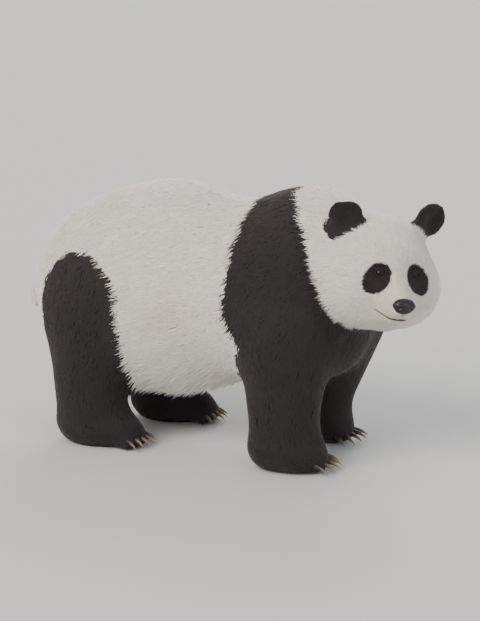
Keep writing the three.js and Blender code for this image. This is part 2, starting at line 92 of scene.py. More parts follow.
class Region(Enum):
    """The parts of the animal that wear hair of a kind."""

    TRUNK = 0
    SHOULDERS = 1
    NECK = 2
    HEAD = 3
    JAW = 4
    PATCH = 5
    EAR = 6
    UPPER_LEG = 7
    LOWER_LEG = 8
    PAW = 9
    TAIL = 10
    NOSE = 11


class Slot(Enum):
    """The material slots of the record."""

    PALE_FUR = "pale_fur"
    DARK_FUR = "dark_fur"
    NOSE_PAD = "nose_pad"
    EYE = "eye"
    CLAW = "claw"


@dataclass(frozen=True)
class Hair:
    """Hair of one kind, in millimetres: how deep it lies, its locks' length and width, and how far apart they stand."""

    depth: float
    length: float
    width: float
    apart: float


HAIR = {
    Region.TRUNK: Hair(11, 52, 5.4, 4.6),
    Region.SHOULDERS: Hair(13, 50, 4.7, 4.4),
    Region.NECK: Hair(11, 42, 4.8, 4.0),
    Region.HEAD: Hair(7, 25, 3.3, 2.75),
    Region.JAW: Hair(4, 12, 1.7, 1.9),
    Region.PATCH: Hair(3, 9, 1.5, 1.6),
    Region.EAR: Hair(4.0, 12, 2.4, 2.1),
    Region.NOSE: Hair(0.8, 5, 1.3, 1.5),
    Region.UPPER_LEG: Hair(12, 44, 4.8, 4.4),
    Region.LOWER_LEG: Hair(9, 34, 4.5, 4.1),
    Region.PAW: Hair(5, 19, 3.1, 3.1),
    Region.TAIL: Hair(12, 38, 4.3, 4.2),
}
MUZZLE_HAIR = Hair(2.2, 6.5, 1.2, 1.5)  # beside the nose
LIP_HAIR = Hair(1.1, 5.0, 1.15, 1.5)  # beside the lips and lids
HAIR_SIZES = ("depth", "length", "width", "apart")

NODE_REGIONS = {
    "trunk": Region.TRUNK,
    "shoulders": Region.SHOULDERS,
    "neck": Region.NECK,
    "head": Region.HEAD,
    "nose": Region.NOSE,
    "lower_jaw": Region.JAW,
    "eye_patch": Region.PATCH,
    "eye": Region.PATCH,
    "ear": Region.EAR,
    "upper_arm": Region.UPPER_LEG,
    "thigh": Region.UPPER_LEG,
    "forearm": Region.LOWER_LEG,
    "shank": Region.LOWER_LEG,
    "forepaw": Region.PAW,
    "hindpaw": Region.PAW,
    "tail": Region.TAIL,
}


LEG = (Region.UPPER_LEG, Region.LOWER_LEG, Region.PAW)
FACE = (Region.HEAD, Region.JAW, Region.NOSE)


def region_of(solid: str) -> Region:
    """Finds the kind of hair that a solid wears.

    Args:
        solid: The solid's name, with or without its side.

    Returns:
        The region that it belongs to.
    """
    return NODE_REGIONS[solid.removesuffix("_right").removesuffix("_left")]


# ---------------------------------------------------------------- small sums


def unit(vectors: Array) -> Array:
    """Scales each row to a length of one."""
    return vectors / np.maximum(np.linalg.norm(vectors, axis=-1, keepdims=True), 1e-9)


def dot(one: Array, other: Array) -> Array:
    """Gives the dot product of each pair of rows, as a column."""
    return np.sum(one * other, axis=-1, keepdims=True)


def smoothstep(low: float, high: float, value: Array) -> Array:
    """Rises softly from 0 at low to 1 at high."""
    share = np.clip((value - low) / (high - low), 0.0, 1.0)
    return share * share * (3 - 2 * share)


def hump(*spans: tuple[Array, float]) -> Array:
    """Gives a round rise of 1 where all the offsets are 0. Each comes with the width over which it fades."""
    return np.exp(-sum((offset / width) ** 2 for offset, width in spans))


def mixed(one: Array, other: Array, share: Array) -> Array:
    """Goes from one value to another by a share."""
    return one + (other - one) * share


def waves(points: Array, length: float, seed: int, count: int = 7) -> Array:
    """Sums slow waves that run in all directions.

    Args:
        points: Places, one a row.
        length: The mean length of a wave, in metres.
        seed: Picks the waves.
        count: How many waves are summed.

    Returns:
        A value for each point, mostly between -1 and 1.
    """
    chance = np.random.default_rng(seed)
    ways = unit(chance.normal(size=(count, 3))) * chance.uniform(0.6, 1.6, (count, 1))
    shifts = chance.uniform(0, math.tau, count)
    return np.sin(points @ ways.T * (math.tau / length) + shifts).sum(1) / math.sqrt(count) * 0.9


class Net:
    """Points joined by edges, for evening values out along a surface."""

    def __init__(self, edges: Array, count: int) -> None:
        """Keeps the edges and how many meet at each point.

        Args:
            edges: The two points of each edge.
            count: How many points there are.
        """
        self.ends = np.concatenate([edges, edges[:, ::-1]])
        self.count = count
        self.meeting = np.maximum(np.bincount(self.ends[:, 0], minlength=count), 1)

    def mean(self, values: Array) -> Array:
        """Gives the mean value of each point's neighbours.

        Args:
            values: A value, or a row of them, for each point.

        Returns:
            The means, laid out as the values are.
        """
        columns = values.reshape(self.count, -1)
        sums = [np.bincount(self.ends[:, 0], columns[self.ends[:, 1], c], self.count) for c in range(columns.shape[1])]
        return (np.stack(sums, 1) / self.meeting[:, None]).reshape(values.shape)

    def spread(self, values: Array, rounds: int, share: float | Array = 0.5) -> Array:
        """Moves each value towards its neighbours' mean, several times.

        Args:
            values: A value, or a row of them, for each point.
            rounds: How often they move.
            share: How much of the way they go, for all points or for each.

        Returns:
            The moved values.
        """
        for _ in range(rounds):
            values = mixed(values, self.mean(values), share)
        return values

    def smooth(self, points: Array, rounds: int, share: float | Array = 1.0) -> Array:
        """Takes the facets off a surface without shrinking it.

        Args:
            points: The surface's points.
            rounds: How often it is evened out.
            share: How strongly, for all points or for each.

        Returns:
            The moved points.
        """
        for _ in range(rounds):
            points = self.spread(points, 1, 0.55 * share)
            points = self.spread(points, 1, -0.57 * share)
        return points


def normals_of(points: Array, faces: Array) -> Array:
    """Gives the outward way at each point of a closed mesh of triangles.

    Args:
        points: The mesh's points.
        faces: Its triangles.

    Returns:
        Directions of length one.
    """
    corners = points[faces]
    across = np.cross(corners[:, 1] - corners[:, 0], corners[:, 2] - corners[:, 0])
    sums = [np.bincount(faces.ravel(), np.repeat(across[:, c], 3), len(points)) for c in range(3)]
    return unit(np.stack(sums, 1))


# ---------------------------------------------------------------- meshes and nodes


def points_of(mesh: bpy.types.Mesh) -> Array:
    """Reads a mesh's points.

    Args:
        mesh: The mesh.

    Returns:
        Its points, one a row.
    """
    flat = np.zeros(len(mesh.vertices) * 3)
    mesh.vertices.foreach_get("co", flat)
    return flat.reshape(-1, 3)


def add_values(mesh: bpy.types.Mesh, name: str, values: Array) -> None:
    """Keeps a value for each of the mesh's points under a name that materials read."""
    layer = mesh.attributes.new(name, "FLOAT", "POINT")
    layer.data.foreach_set("value", np.ascontiguousarray(values, np.float32).ravel())


def add_map(mesh: bpy.types.Mesh, name: str, places: Array) -> None:
    """Adds a UV map with a place for each corner of the mesh."""
    layer = mesh.uv_layers.new(name=name)
    layer.data.foreach_set("uv", np.ascontiguousarray(places, np.float32).ravel())


def mesh_of(name: str, points: Array, faces: Array) -> bpy.types.Mesh:
    """Makes a mesh whose faces all have the same number of corners.

    Args:
        name: The mesh's name.
        points: Its points, in metres.
        faces: The points of each face, one face a row.

    Returns:
        The new mesh, shaded smooth.
    """
    mesh = bpy.data.meshes.new(name)
    corners = faces.shape[1]
    mesh.vertices.add(len(points))
    mesh.loops.add(faces.size)
    mesh.polygons.add(len(faces))
    mesh.vertices.foreach_set("co", np.ascontiguousarray(points, np.float32).ravel())
    mesh.loops.foreach_set("vertex_index", np.ascontiguousarray(faces, np.int32).ravel())
    mesh.polygons.foreach_set("loop_start", np.arange(0, faces.size, corners, dtype=np.int32))
    mesh.update(calc_edges=True)
    mesh.shade_smooth()
    return mesh


def placed(name: str, mesh: bpy.types.Mesh, material: bpy.types.Material) -> bpy.types.Object:
    """Puts a mesh in the scene as a piece of the animal.

    Args:
        name: The piece's name.
        mesh: Its mesh, in the row frame.
        material: What it is made of.

    Returns:
        The new object, at the origin and riding on the body.
    """
    piece = bpy.data.objects.new(name, mesh)
    bpy.context.scene.collection.objects.link(piece)
    mesh.materials.clear()
    mesh.materials.append(material)
    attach(piece, BODY)
    LOG.info("%s: %d faces", name, len(mesh.polygons))
    return piece


def linear(hex_colour: str) -> tuple[float, float, float, float]:
    """Turns an sRGB hex colour into the linear one that shaders take.

    Args:
        hex_colour: Six hex digits, with or without a #.

    Returns:
        Red, green, blue and an alpha of one.
    """
    digits = hex_colour.lstrip("#")
    channels = [int(digits[n : n + 2], 16) / 255 for n in (0, 2, 4)]
    turned = [c / 12.92 if c <= 0.04045 else ((c + 0.055) / 1.055) ** 2.4 for c in channels]
    return (*turned, 1.0)


def node(tree: bpy.types.NodeTree, kind: str, settings: dict | None = None, **inputs: object) -> bpy.types.Node:
    """Adds a shader node.

    Args:
        tree: The material's node tree.
        kind: The node's type, less its "ShaderNode".
        settings: Values for the node's own properties.
        **inputs: For each socket, by its name with _ for spaces or by its number after an s, a value or the output
            of another node to link to it.

    Returns:
        The new node.
    """
    made = tree.nodes.new("ShaderNode" + kind)
    for key, value in (settings or {}).items():
        setattr(made, key, value)
    for key, value in inputs.items():
        numbered = key[0] == "s" and key[1:].isdigit()
        socket = made.inputs[int(key[1:]) if numbered else key.replace("_", " ")]
        if isinstance(value, bpy.types.NodeSocket):
            tree.links.new(value, socket)
        else:
            socket.default_value = value
    return made


BLEND = {"data_type": "RGBA"}  # has a Mix node blend colours: s0 is its share, s6 and s7 are its colours
SOFTLY = {"interpolation_type": "SMOOTHSTEP"}


def blank(name: str) -> tuple[bpy.types.Material, bpy.types.NodeTree]:
    """Starts a material with an empty node tree.

    Args:
        name: The material's name, after its finish.

    Returns:
        The material and its node tree.
    """
    material = bpy.data.materials.new(name)
    material.use_nodes = True
    material.node_tree.nodes.clear()
    return material, material.node_tree


def finish_with(tree: bpy.types.NodeTree, shader: bpy.types.Node) -> None:
    """Links a shader to the material's output."""
    node(tree, "OutputMaterial", Surface=shader.outputs[0])


# ---------------------------------------------------------------- finishes


@dataclass(frozen=True)
class GuardHair:
    """Panda hair: coarse, matt and woolly, pale with a little straw and dirt in it, or black with brown tips.

    A lock is darker towards its root, where it goes down among the others, partly its own deeper colour there and
    partly painted shade; and each is a shade off its neighbour, so that the eye reads depth. Light goes on through
    the pale hair, and sheen gives the soft edge of a coat against the light.
    """

    pale_tip: str = "#f6f1e6"
    # darker and a little yellower than the tip: the hair's own root colour, and painted shade where locks go down among
    # the others
    pale_root_and_shade: str = "#e8dfcc"
    dirt: str = "#d8c9a6"
    dark_tip: str = "#231e1b"
    # darker than the brown tip: the hair's own root colour, and painted shade where locks go down among the others
    dark_root_and_shade: str = "#13100e"
    dirt_patch: float = 210  # mm across
    strand: float = 0.55  # mm, drawn coarser than a hair is so that it shows
    glow: float = 7  # mm that light goes into the hair

    def make(self) -> bpy.types.Material:
        """Builds the material, which reads a lock's marking, shade and how far along it a point is.

        Returns:
            The finished material.
        """
        material, tree = blank("guard_hair")
        marking = node(tree, "Attribute", {"attribute_name": "marking"}).outputs["Fac"]
        along = node(tree, "Attribute", {"attribute_name": "along"}).outputs["Fac"]
        shade = node(tree, "Attribute", {"attribute_name": "shade"}).outputs["Fac"]
        place = node(tree, "TexCoord").outputs["Object"]
        patches = node(tree, "TexNoise", Vector=place, Scale=1 / (self.dirt_patch * MM), Detail=3.0, Roughness=0.6)
        soiled = node(tree, "MapRange", Value=patches.outputs["Fac"], From_Min=0.5, From_Max=0.78, To_Max=0.55)
        # root to tip: the darker roots are partly the hair's own colour and partly painted shade among the locks
        out = node(tree, "MapRange", SOFTLY, Value=along, From_Min=0.15, From_Max=0.9)
        pale = node(tree, "Mix", BLEND, s0=out.outputs[0], s6=linear(self.pale_root_and_shade),
                    s7=linear(self.pale_tip)).outputs[2]
        worn = node(tree, "Mix", BLEND, s0=soiled.outputs[0], s6=pale, s7=linear(self.dirt)).outputs[2]
        dark = node(tree, "Mix", BLEND, s0=out.outputs[0], s6=linear(self.dark_root_and_shade),
                    s7=linear(self.dark_tip)).outputs[2]
        colour = node(tree, "Mix", BLEND, s0=marking, s6=worn, s7=dark).outputs[2]
        varied = node(tree, "MapRange", Value=shade, To_Min=0.82, To_Max=1.08)
        shaded = node(tree, "Mix", BLEND | {"blend_type": "MULTIPLY"}, s0=1.0, s6=colour,
                      s7=varied.outputs[0]).outputs[2]
        strands = node(tree, "UVMap", {"uv_map": "Strand"}).outputs[0]
        lines = node(tree, "TexNoise", {"noise_dimensions": "2D"}, Vector=strands, Scale=1.0, Detail=2.0)
        bump = node(tree, "Bump", Strength=0.5, Distance=self.strand * MM, Height=lines.outputs["Fac"])
        shader = node(tree, "BsdfPrincipled", Base_Color=shaded, Roughness=0.72, Normal=bump.outputs[0],
                      Specular_IOR_Level=0.28, Subsurface_Weight=0.4, Subsurface_Radius=(1.0, 0.9, 0.75),
                      Subsurface_Scale=self.glow * MM, Sheen_Weight=0.16, Sheen_Roughness=0.55)
        finish_with(tree, shader)
        return material


@dataclass(frozen=True)
class Hide:
    """Living skin under the coat: the hair's own root colour shows on it, and black leather on the lids and lips."""

    pale: str = "#e6dcc8"
    dark: str = "#100e0d"
    leather: str = "#171413"
    pore: float = 1.6  # mm
    pore_depth: float = 0.4  # mm

    def make(self) -> bpy.types.Material:
        """Builds the material, which reads the skin's markings and where it is bare.

        Returns:
            The finished material.
        """
        material, tree = blank("hide_under_coat")
        marking = node(tree, "Attribute", {"attribute_name": "marking"}).outputs["Fac"]
        bare = node(tree, "Attribute", {"attribute_name": "bare"}).outputs["Fac"]
        place = node(tree, "TexCoord").outputs["Object"]
        colour = node(tree, "Mix", BLEND, s0=marking, s6=linear(self.pale), s7=linear(self.dark)).outputs[2]
        whole = node(tree, "Mix", BLEND, s0=bare, s6=colour, s7=linear(self.leather)).outputs[2]
        grain = node(tree, "TexVoronoi", Vector=place, Scale=1 / (self.pore * MM))
        bump = node(tree, "Bump", Strength=0.35, Distance=self.pore_depth * MM, Height=grain.outputs["Distance"])
        rough = node(tree, "MapRange", Value=bare, To_Min=0.9, To_Max=0.48)
        shader = node(tree, "BsdfPrincipled", Base_Color=whole, Roughness=rough.outputs[0], Normal=bump.outputs[0],
                      Specular_IOR_Level=0.35)
        finish_with(tree, shader)
        return material


@dataclass(frozen=True)
class NoseLeather:
    """The nose pad: bare black skin in small pebbles, moist, so that it takes a broad soft gleam."""

    hollow: str = "#080707"
    crest: str = "#1c1a19"
    pebble: float = 1.9  # mm, about twice the real one so that it shows
    pebble_depth: float = 0.5  # mm
    gleam: float = 11  # mm between moister and drier places

    def make(self) -> bpy.types.Material:
        """Builds the material.

        Returns:
            The finished material.
        """
        material, tree = blank("nose_leather")
        place = node(tree, "TexCoord").outputs["Object"]
        pebbles = node(tree, "TexVoronoi", Vector=place, Scale=1 / (self.pebble * MM))
        wear = node(tree, "TexNoise", Vector=place, Scale=1 / (self.gleam * MM), Detail=3.0)
        colour = node(tree, "Mix", BLEND, s0=wear.outputs["Fac"], s6=linear(self.hollow), s7=linear(self.crest))
        rough = node(tree, "MapRange", Value=wear.outputs["Fac"], To_Min=0.28, To_Max=0.5)
        bump = node(tree, "Bump", {"invert": True}, Strength=0.55, Distance=self.pebble_depth * MM,
                    Height=pebbles.outputs["Distance"])
        shader = node(tree, "BsdfPrincipled", Base_Color=colour.outputs[2], Roughness=rough.outputs[0],
                      Normal=bump.outputs[0], Specular_IOR_Level=0.4, Coat_Weight=0.15, Coat_Roughness=0.25)
        finish_with(tree, shader)
        return material


@dataclass(frozen=True)
class EyeBall:
    """A wet eye: a brown iris with an upright slit, dark white round it, and a clear cornea that mirrors the lamps."""

    iris: str = "#301a0b"
    iris_rim: str = "#120a05"
    white: str = "#181210"
    pupil: str = "#020202"
    iris_reach: float = 0.6  # of the eye's radius, as the sizes below
    iris_edge: tuple[float, float] = (-0.02, 0.04)  # where it turns to white, from its reach
    slit: tuple[float, float] = (0.16, 0.4)  # half the pupil's width and height

    def make(self) -> bpy.types.Material:
        """Builds the material, which reads the map that looks at the eye from its front.

        Returns:
            The finished material.
        """
        material, tree = blank("eye_wet")
        seen = node(tree, "UVMap", {"uv_map": "Gaze"}).outputs[0]
        from_middle = node(tree, "VectorMath", {"operation": "LENGTH"}, s0=seen).outputs["Value"]
        squeezed = node(tree, "VectorMath", {"operation": "DIVIDE"}, s0=seen, s1=(*self.slit, 1.0)).outputs[0]
        in_slit = node(tree, "VectorMath", {"operation": "LENGTH"}, s0=squeezed).outputs["Value"]
        rays = node(tree, "TexNoise", Vector=seen, Scale=26.0, Detail=2.0)
        ring = node(tree, "MapRange", SOFTLY, Value=from_middle, From_Min=0.3, From_Max=self.iris_reach)
        iris = node(tree, "Mix", BLEND, s0=ring.outputs[0], s6=linear(self.iris), s7=linear(self.iris_rim)).outputs[2]
        flecked = node(tree, "Mix", BLEND, s0=rays.outputs["Fac"], s6=iris, s7=linear(self.iris_rim)).outputs[2]
        edge = node(tree, "MapRange", Value=from_middle, From_Min=self.iris_reach + self.iris_edge[0],
                    From_Max=self.iris_reach + self.iris_edge[1])
        ball = node(tree, "Mix", BLEND, s0=edge.outputs[0], s6=flecked, s7=linear(self.white)).outputs[2]
        hole = node(tree, "MapRange", Value=in_slit, From_Min=0.92, From_Max=1.08)
        colour = node(tree, "Mix", BLEND, s0=hole.outputs[0], s6=linear(self.pupil), s7=ball).outputs[2]
        shader = node(tree, "BsdfPrincipled", Base_Color=colour, Roughness=0.5, Specular_IOR_Level=0.0,
                      Coat_Weight=0.8, Coat_IOR=1.38, Coat_Roughness=0.03)
        finish_with(tree, shader)
        return material


@dataclass(frozen=True)
class ClawHorn:
    """Horn of the claws: grown in long fibres, dark at the root and worn to a paler point, with a dull polish."""

    root: str = "#2c2622"
    point: str = "#85775f"
    fibre: float = 4.4  # mm, drawn several times coarser than the real one so that it shows
    fibre_depth: float = 0.3  # mm

    def make(self) -> bpy.types.Material:
        """Builds the material, which reads how far along the claw a point is.

        Returns:
            The finished material.
        """
        material, tree = blank("claw_horn")
        along = node(tree, "Attribute", {"attribute_name": "along"}).outputs["Fac"]
        place = node(tree, "TexCoord").outputs["Object"]
        streaks = node(tree, "TexNoise", Vector=place, Scale=1 / (self.fibre * MM), Detail=4.0)
        worn = node(tree, "Math", {"operation": "MULTIPLY_ADD"}, s0=streaks.outputs["Fac"], s1=0.45, s2=along)
        paled = node(tree, "MapRange", Value=worn.outputs[0], From_Min=0.35, From_Max=1.2)
        colour = node(tree, "Mix", BLEND, s0=paled.outputs[0], s6=linear(self.root), s7=linear(self.point))
        rough = node(tree, "MapRange", Value=streaks.outputs["Fac"], To_Min=0.34, To_Max=0.56)
        bump = node(tree, "Bump", Strength=0.3, Distance=self.fibre_depth * MM, Height=streaks.outputs["Fac"])
        shader = node(tree, "BsdfPrincipled", Base_Color=colour.outputs[2], Roughness=rough.outputs[0],
                      Normal=bump.outputs[0])
        finish_with(tree, shader)
        return material


@dataclass(frozen=True)
class StudioPaper:
    """Matt background paper, pale and without a pattern that could be taken for ground."""

    colour: str = "#cfcfcf"

    def make(self) -> bpy.types.Material:
        """Builds the material.

        Returns:
            The finished material.
        """
        material, tree = blank("studio_paper")
        shader = node(tree, "BsdfPrincipled", Base_Color=linear(self.colour), Roughness=0.9, Specular_IOR_Level=0.1)
        finish_with(tree, shader)
        return material


# ---------------------------------------------------------------- the head's own frame


@dataclass
class HeadFrame:
    """The head's own axes: +X out of the face, +Y its left and +Z its crown. It is found from the eyes and the nose."""

    eyes_at: tuple[float, float, float] = (103, 47, 27)
    nose_at: tuple[float, float, float] = (187.1, 0, -44.2)
    origin: Array = field(init=False)
    axes: Array = field(init=False)

    def __post_init__(self) -> None:
        """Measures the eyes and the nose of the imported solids."""
        right, left = (np.array(sum(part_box(f"eye_{side}"), Vector()) / 2) for side in SIDES)
        nose = points_of(bpy.data.objects["nose"].data).mean(0)
        across = unit(left - right)
        middle = (left + right) / 2
        seen = nose - middle - across * np.dot(nose - middle, across)
        run, drop = self.nose_at[0] - self.eyes_at[0], self.nose_at[2] - self.eyes_at[2]
        turn = math.atan2(drop, run)
        ahead = unit(seen)
        up = np.cross(ahead, across)
        facing = ahead * math.cos(turn) - up * math.sin(turn)
        crown = ahead * math.sin(turn) + up * math.cos(turn)
        self.axes = np.stack([facing, across, crown])
        self.origin = middle - np.array([self.eyes_at[0], 0, self.eyes_at[2]]) * MM @ self.axes

    def inside(self, points: Array) -> Array:
        """Gives points of the row frame in the head's own, in millimetres."""
        return (points - self.origin) @ self.axes.T / MM

    def outside(self, points: Array) -> Array:
        """Gives points of the head's own frame, in millimetres, in the row frame."""
        return points * MM @ self.axes + self.origin

    def way(self, vectors: Array) -> Array:
        """Turns directions from the head's own frame to the row frame."""
        return np.asarray(vectors, float) @ self.axes

    def from_eyes(self, local: Array) -> Array:
        """Gives how far points of the head's own frame are from the nearer eye's middle."""
        eyes = [self.eyes_at * np.array([1, sign, 1]) for sign in SIDES.values()]
        return np.min([np.linalg.norm(local - eye, axis=1) for eye in eyes], axis=0)


# ---------------------------------------------------------------- markings


@dataclass
class Markings:
    """Where the animal is black: legs, a band over the shoulders, ears and a patch round each eye.

    Heights and distances are in millimetres in the row frame, and the patches' in the head's own.
    """

    head: HeadFrame
    band_rear: Profile = (
        (300, 158), (366, 134), (415, 102), (462, 90), (548, 100), (650, 110), (740, 115), (800, 122)
    )
    band_front: Profile = ((455, 436), (524, 386), (562, 352), (670, 312), (740, 268), (779, 235))
    breast: float = 458  # all is black below this height, ahead of the band's rear border
    arch_half: float = 130  # half the width of the black on a thigh
    arch_ahead: float = 9  # of the thigh's middle
    arch_top: float = 578
    between_thighs: float = 30  # half the width of the white between them
    groin: float = 150  # only legs lie below this
    elbow: float = 330  # the forelegs are black all round up to this height
    behind_foreleg: float = 4  # that the black reaches
    outside: float = -50  # stands for a place well outside a marking
    soft: float = 9  # how far a border runs from white to black
    soft_on_head: float = 3
    wander: float = 4  # how far a border strays
    wander_on_head: float = 0.3  # of that
    wander_wave: float = 0.07  # in metres
    patch_middle: tuple[float, float] = (60, 15)
    patch_half: tuple[float, float] = (31, 47)
    patch_slant: float = 33  # degrees, outwards going down
    patch_ahead: float = 40  # of the head's middle, where the face begins

    def border(self, profile: Profile, height: Array) -> Array:
        """Reads a border's place at each height off its profile."""
        heights, places = np.array(profile, float).T
        return np.interp(height, heights, places)

    def band(self, x: Array, z: Array) -> Array:
        """Gives how far inside the shoulder band each point lies, in millimetres.

        Args:
            x: Places ahead.
            z: Heights.

        Returns:
            How far in each point lies, in millimetres, below zero outside.
        """
        ahead_of_rear = x - self.border(self.band_rear, z)
        behind_front = np.maximum(self.border(self.band_front, z) - x, (self.breast - z))
        return np.minimum(ahead_of_rear, behind_front)

    def thighs(self, x: Array, y: Array, z: Array) -> Array:
        """Gives how far inside the black of the hind legs each point lies.

        Args:
            x: Places ahead.
            y: Places to the left.
            z: Heights.

        Returns:
            How far in each point lies, in millimetres, below zero outside.
        """
        inside = self.groin - z
        for side, sign in SIDES.items():
            low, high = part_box(f"thigh_{side}")
            middle = (low.x + high.x) / 2 / MM
            springing = self.arch_top - self.arch_half
            arch = self.arch_half - np.hypot(x - middle - self.arch_ahead, np.maximum(z - springing, 0))
            inside = np.maximum(inside, np.minimum(arch, y * sign - self.between_thighs))
        return inside

    def forelegs(self, x: Array, y: Array, z: Array) -> Array:
        """Gives how far inside the black of the forelegs each point lies.

        Args:
            x: Places ahead.
            y: Places to the left.
            z: Heights.

        Returns:
            How far in each point lies, in millimetres, below zero outside.
        """
        inside = np.full(len(x), self.outside, float)
        for side, sign in SIDES.items():
            low, high = (np.array(corner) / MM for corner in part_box(f"forearm_{side}"))
            aside = y * sign - min(abs(low[1]), abs(high[1]))
            inside = np.maximum(inside, np.minimum.reduce([x - low[0] + self.behind_foreleg, aside, self.elbow - z]))
        return inside

    def patches(self, local: Array) -> Array:
        """Gives how far inside a patch round an eye each point of the head lies.

        Args:
            local: Points in the head's own frame.

        Returns:
            How far in each point lies, in millimetres, below zero outside.
        """
        x, across, up = local[:, 0], np.abs(local[:, 1]), local[:, 2]
        turn = math.radians(self.patch_slant)
        out, rise = across - self.patch_middle[0], up - self.patch_middle[1]
        one = (out * math.cos(turn) + rise * math.sin(turn)) / self.patch_half[0]
        other = (rise * math.cos(turn) - out * math.sin(turn)) / self.patch_half[1]
        return np.where(x > self.patch_ahead, (1 - np.hypot(one, other)) * min(self.patch_half), self.outside)

    def of(self, points: Array, region: Array) -> Array:
        """Marks points black or white.

        Args:
            points: Places in the row frame.
            region: The region of each.

        Returns:
            1 where the animal is black and 0 where it is white.
        """
        x, y, z = points.T / MM
        local = self.head.inside(points)
        on_head = np.isin(region, [r.value for r in (*FACE, Region.PATCH)])
        body = np.maximum.reduce([self.band(x, z), self.thighs(x, y, z), self.forelegs(x, y, z)])
        body = np.where(region == Region.TAIL.value, self.outside, body)
        inside = np.where(on_head, self.patches(local), body)
        strayed = np.where(on_head, self.wander_on_head, 1) * (self.wander * waves(points, self.wander_wave, 11))
        black = smoothstep(-1, 1, (inside + strayed) / np.where(on_head, self.soft_on_head, self.soft))
        return np.where(region == Region.EAR.value, 1.0, black)


# ---------------------------------------------------------------- the hide


@dataclass(frozen=True)
class Block:
    """A block of room in the head's own frame, alike on both sides, in millimetres: ahead, half its width and up."""

    ahead: tuple[float, float]
    half: float
    high: tuple[float, float]

    def holds(self, local: Array) -> Array:
        """Tells which points lie in it.

        Args:
            local: Points in the head's own frame.

        Returns:
            Which of them do.
        """
        x, y, z = local.T
        level = (x > self.ahead[0]) & (x < self.ahead[1]) & (np.abs(y) < self.half)
        return level & (z > self.high[0]) & (z < self.high[1])


@dataclass
class Eyelids:
    """The lids of one eye, drawn round it as seen along its gaze. Sizes are in millimetres."""

    side: int
    radius: float
    middle: Array  # in the head's own frame
    gaze: tuple[float, float, float] = (1.0, 0.42, -0.06)
    half_width: float = 11.6
    half_height: float = 7.4
    slope: float = 14  # degrees that the inner corner lies lower
    squareness: float = 1.55  # of the opening, between a diamond's 1 and an ellipse's 2
    thick: float = 1.7
    tuck: float = 2.2  # how deep the lids' edge goes in beside the ball
    rim: tuple[float, float] = (-1.3, 0.9)  # where that edge turns over, from the opening's own
    folds: tuple[tuple[float, float, float], ...] = ((0.9, 5.2, 1.6), (-0.7, 8.2, 1.5))  # rise, place, width
    reach: tuple[float, float] = (4.5, 15.0)  # where the lids run out into the face
    deep: tuple[float, float] = (3, 17)  # off the ball, where skin keeps its own place
    drawn: float = 22  # off the ball, from where skin is drawn over it
    leather: tuple[float, float] = (1.0, 2.4)  # where the bare rim ends
    leather_depth: float = 12  # off the ball, the furthest that it goes

    def axes(self) -> Array:
        """Finds the eye's own axes.

        Returns:
            Out along its gaze, towards its outer corner and up, as rows in the head's own frame.
        """
        ahead = unit(np.array([self.gaze[0], self.gaze[1] * self.side, self.gaze[2]]))
        outer = unit(np.cross(np.array([0, 0, 1.0]), ahead)) * self.side
        turn = math.radians(self.slope)
        up = unit(np.cross(ahead, outer)) * self.side
        aside = outer * math.cos(turn) + up * math.sin(turn)
        return np.stack([ahead, aside, up * math.cos(turn) - outer * math.sin(turn)])

    def opening(self, points: Array) -> tuple[Array, Array]:
        """Finds how far points lie outside the opening between the lids.

        Args:
            points: Places in the head's own frame.

        Returns:
            The distance along the eye's ball from the opening's edge, below zero inside it, and each point's way
            from the eye's middle.
        """
        ways = unit(points - self.middle)
        seen = ways @ self.axes().T
        round_eye = np.arctan2(np.hypot(seen[:, 1], seen[:, 2]), seen[:, 0]) * self.radius
        turn = np.arctan2(seen[:, 2], seen[:, 1])
        across, tall = np.abs(np.cos(turn)) / self.half_width, np.abs(np.sin(turn)) / self.half_height
        edge = (across**self.squareness + tall**self.squareness) ** (-1 / self.squareness)
        return round_eye - edge, ways

    def close_over(self, points: Array) -> tuple[Array, Array]:
        """Draws the skin over the ball and leaves the eye open.

        Args:
            points: The skin's points in the head's own frame.

        Returns:
            The moved points, and how bare each is, from 0 to 1.
        """
        past, ways = self.opening(points)
        far = np.linalg.norm(points - self.middle, axis=1)
        off = far - self.radius
        lip = mixed(self.radius - self.tuck, self.radius + self.thick, smoothstep(*self.rim, past))
        fold = sum(rise * hump((past - place, width)) for rise, place, width in self.folds)
        away = np.maximum(smoothstep(*self.reach, past), smoothstep(*self.deep, off) * smoothstep(1, 6, past))
        target = mixed(lip + fold, far, away)
        near = (off < self.drawn) & (past < self.reach[1])
        moved = np.where(near[:, None], self.middle + ways * target[:, None], points)
        bare = np.where(off < self.leather_depth, 1 - smoothstep(*self.leather, past), 0.0)
        return moved, bare


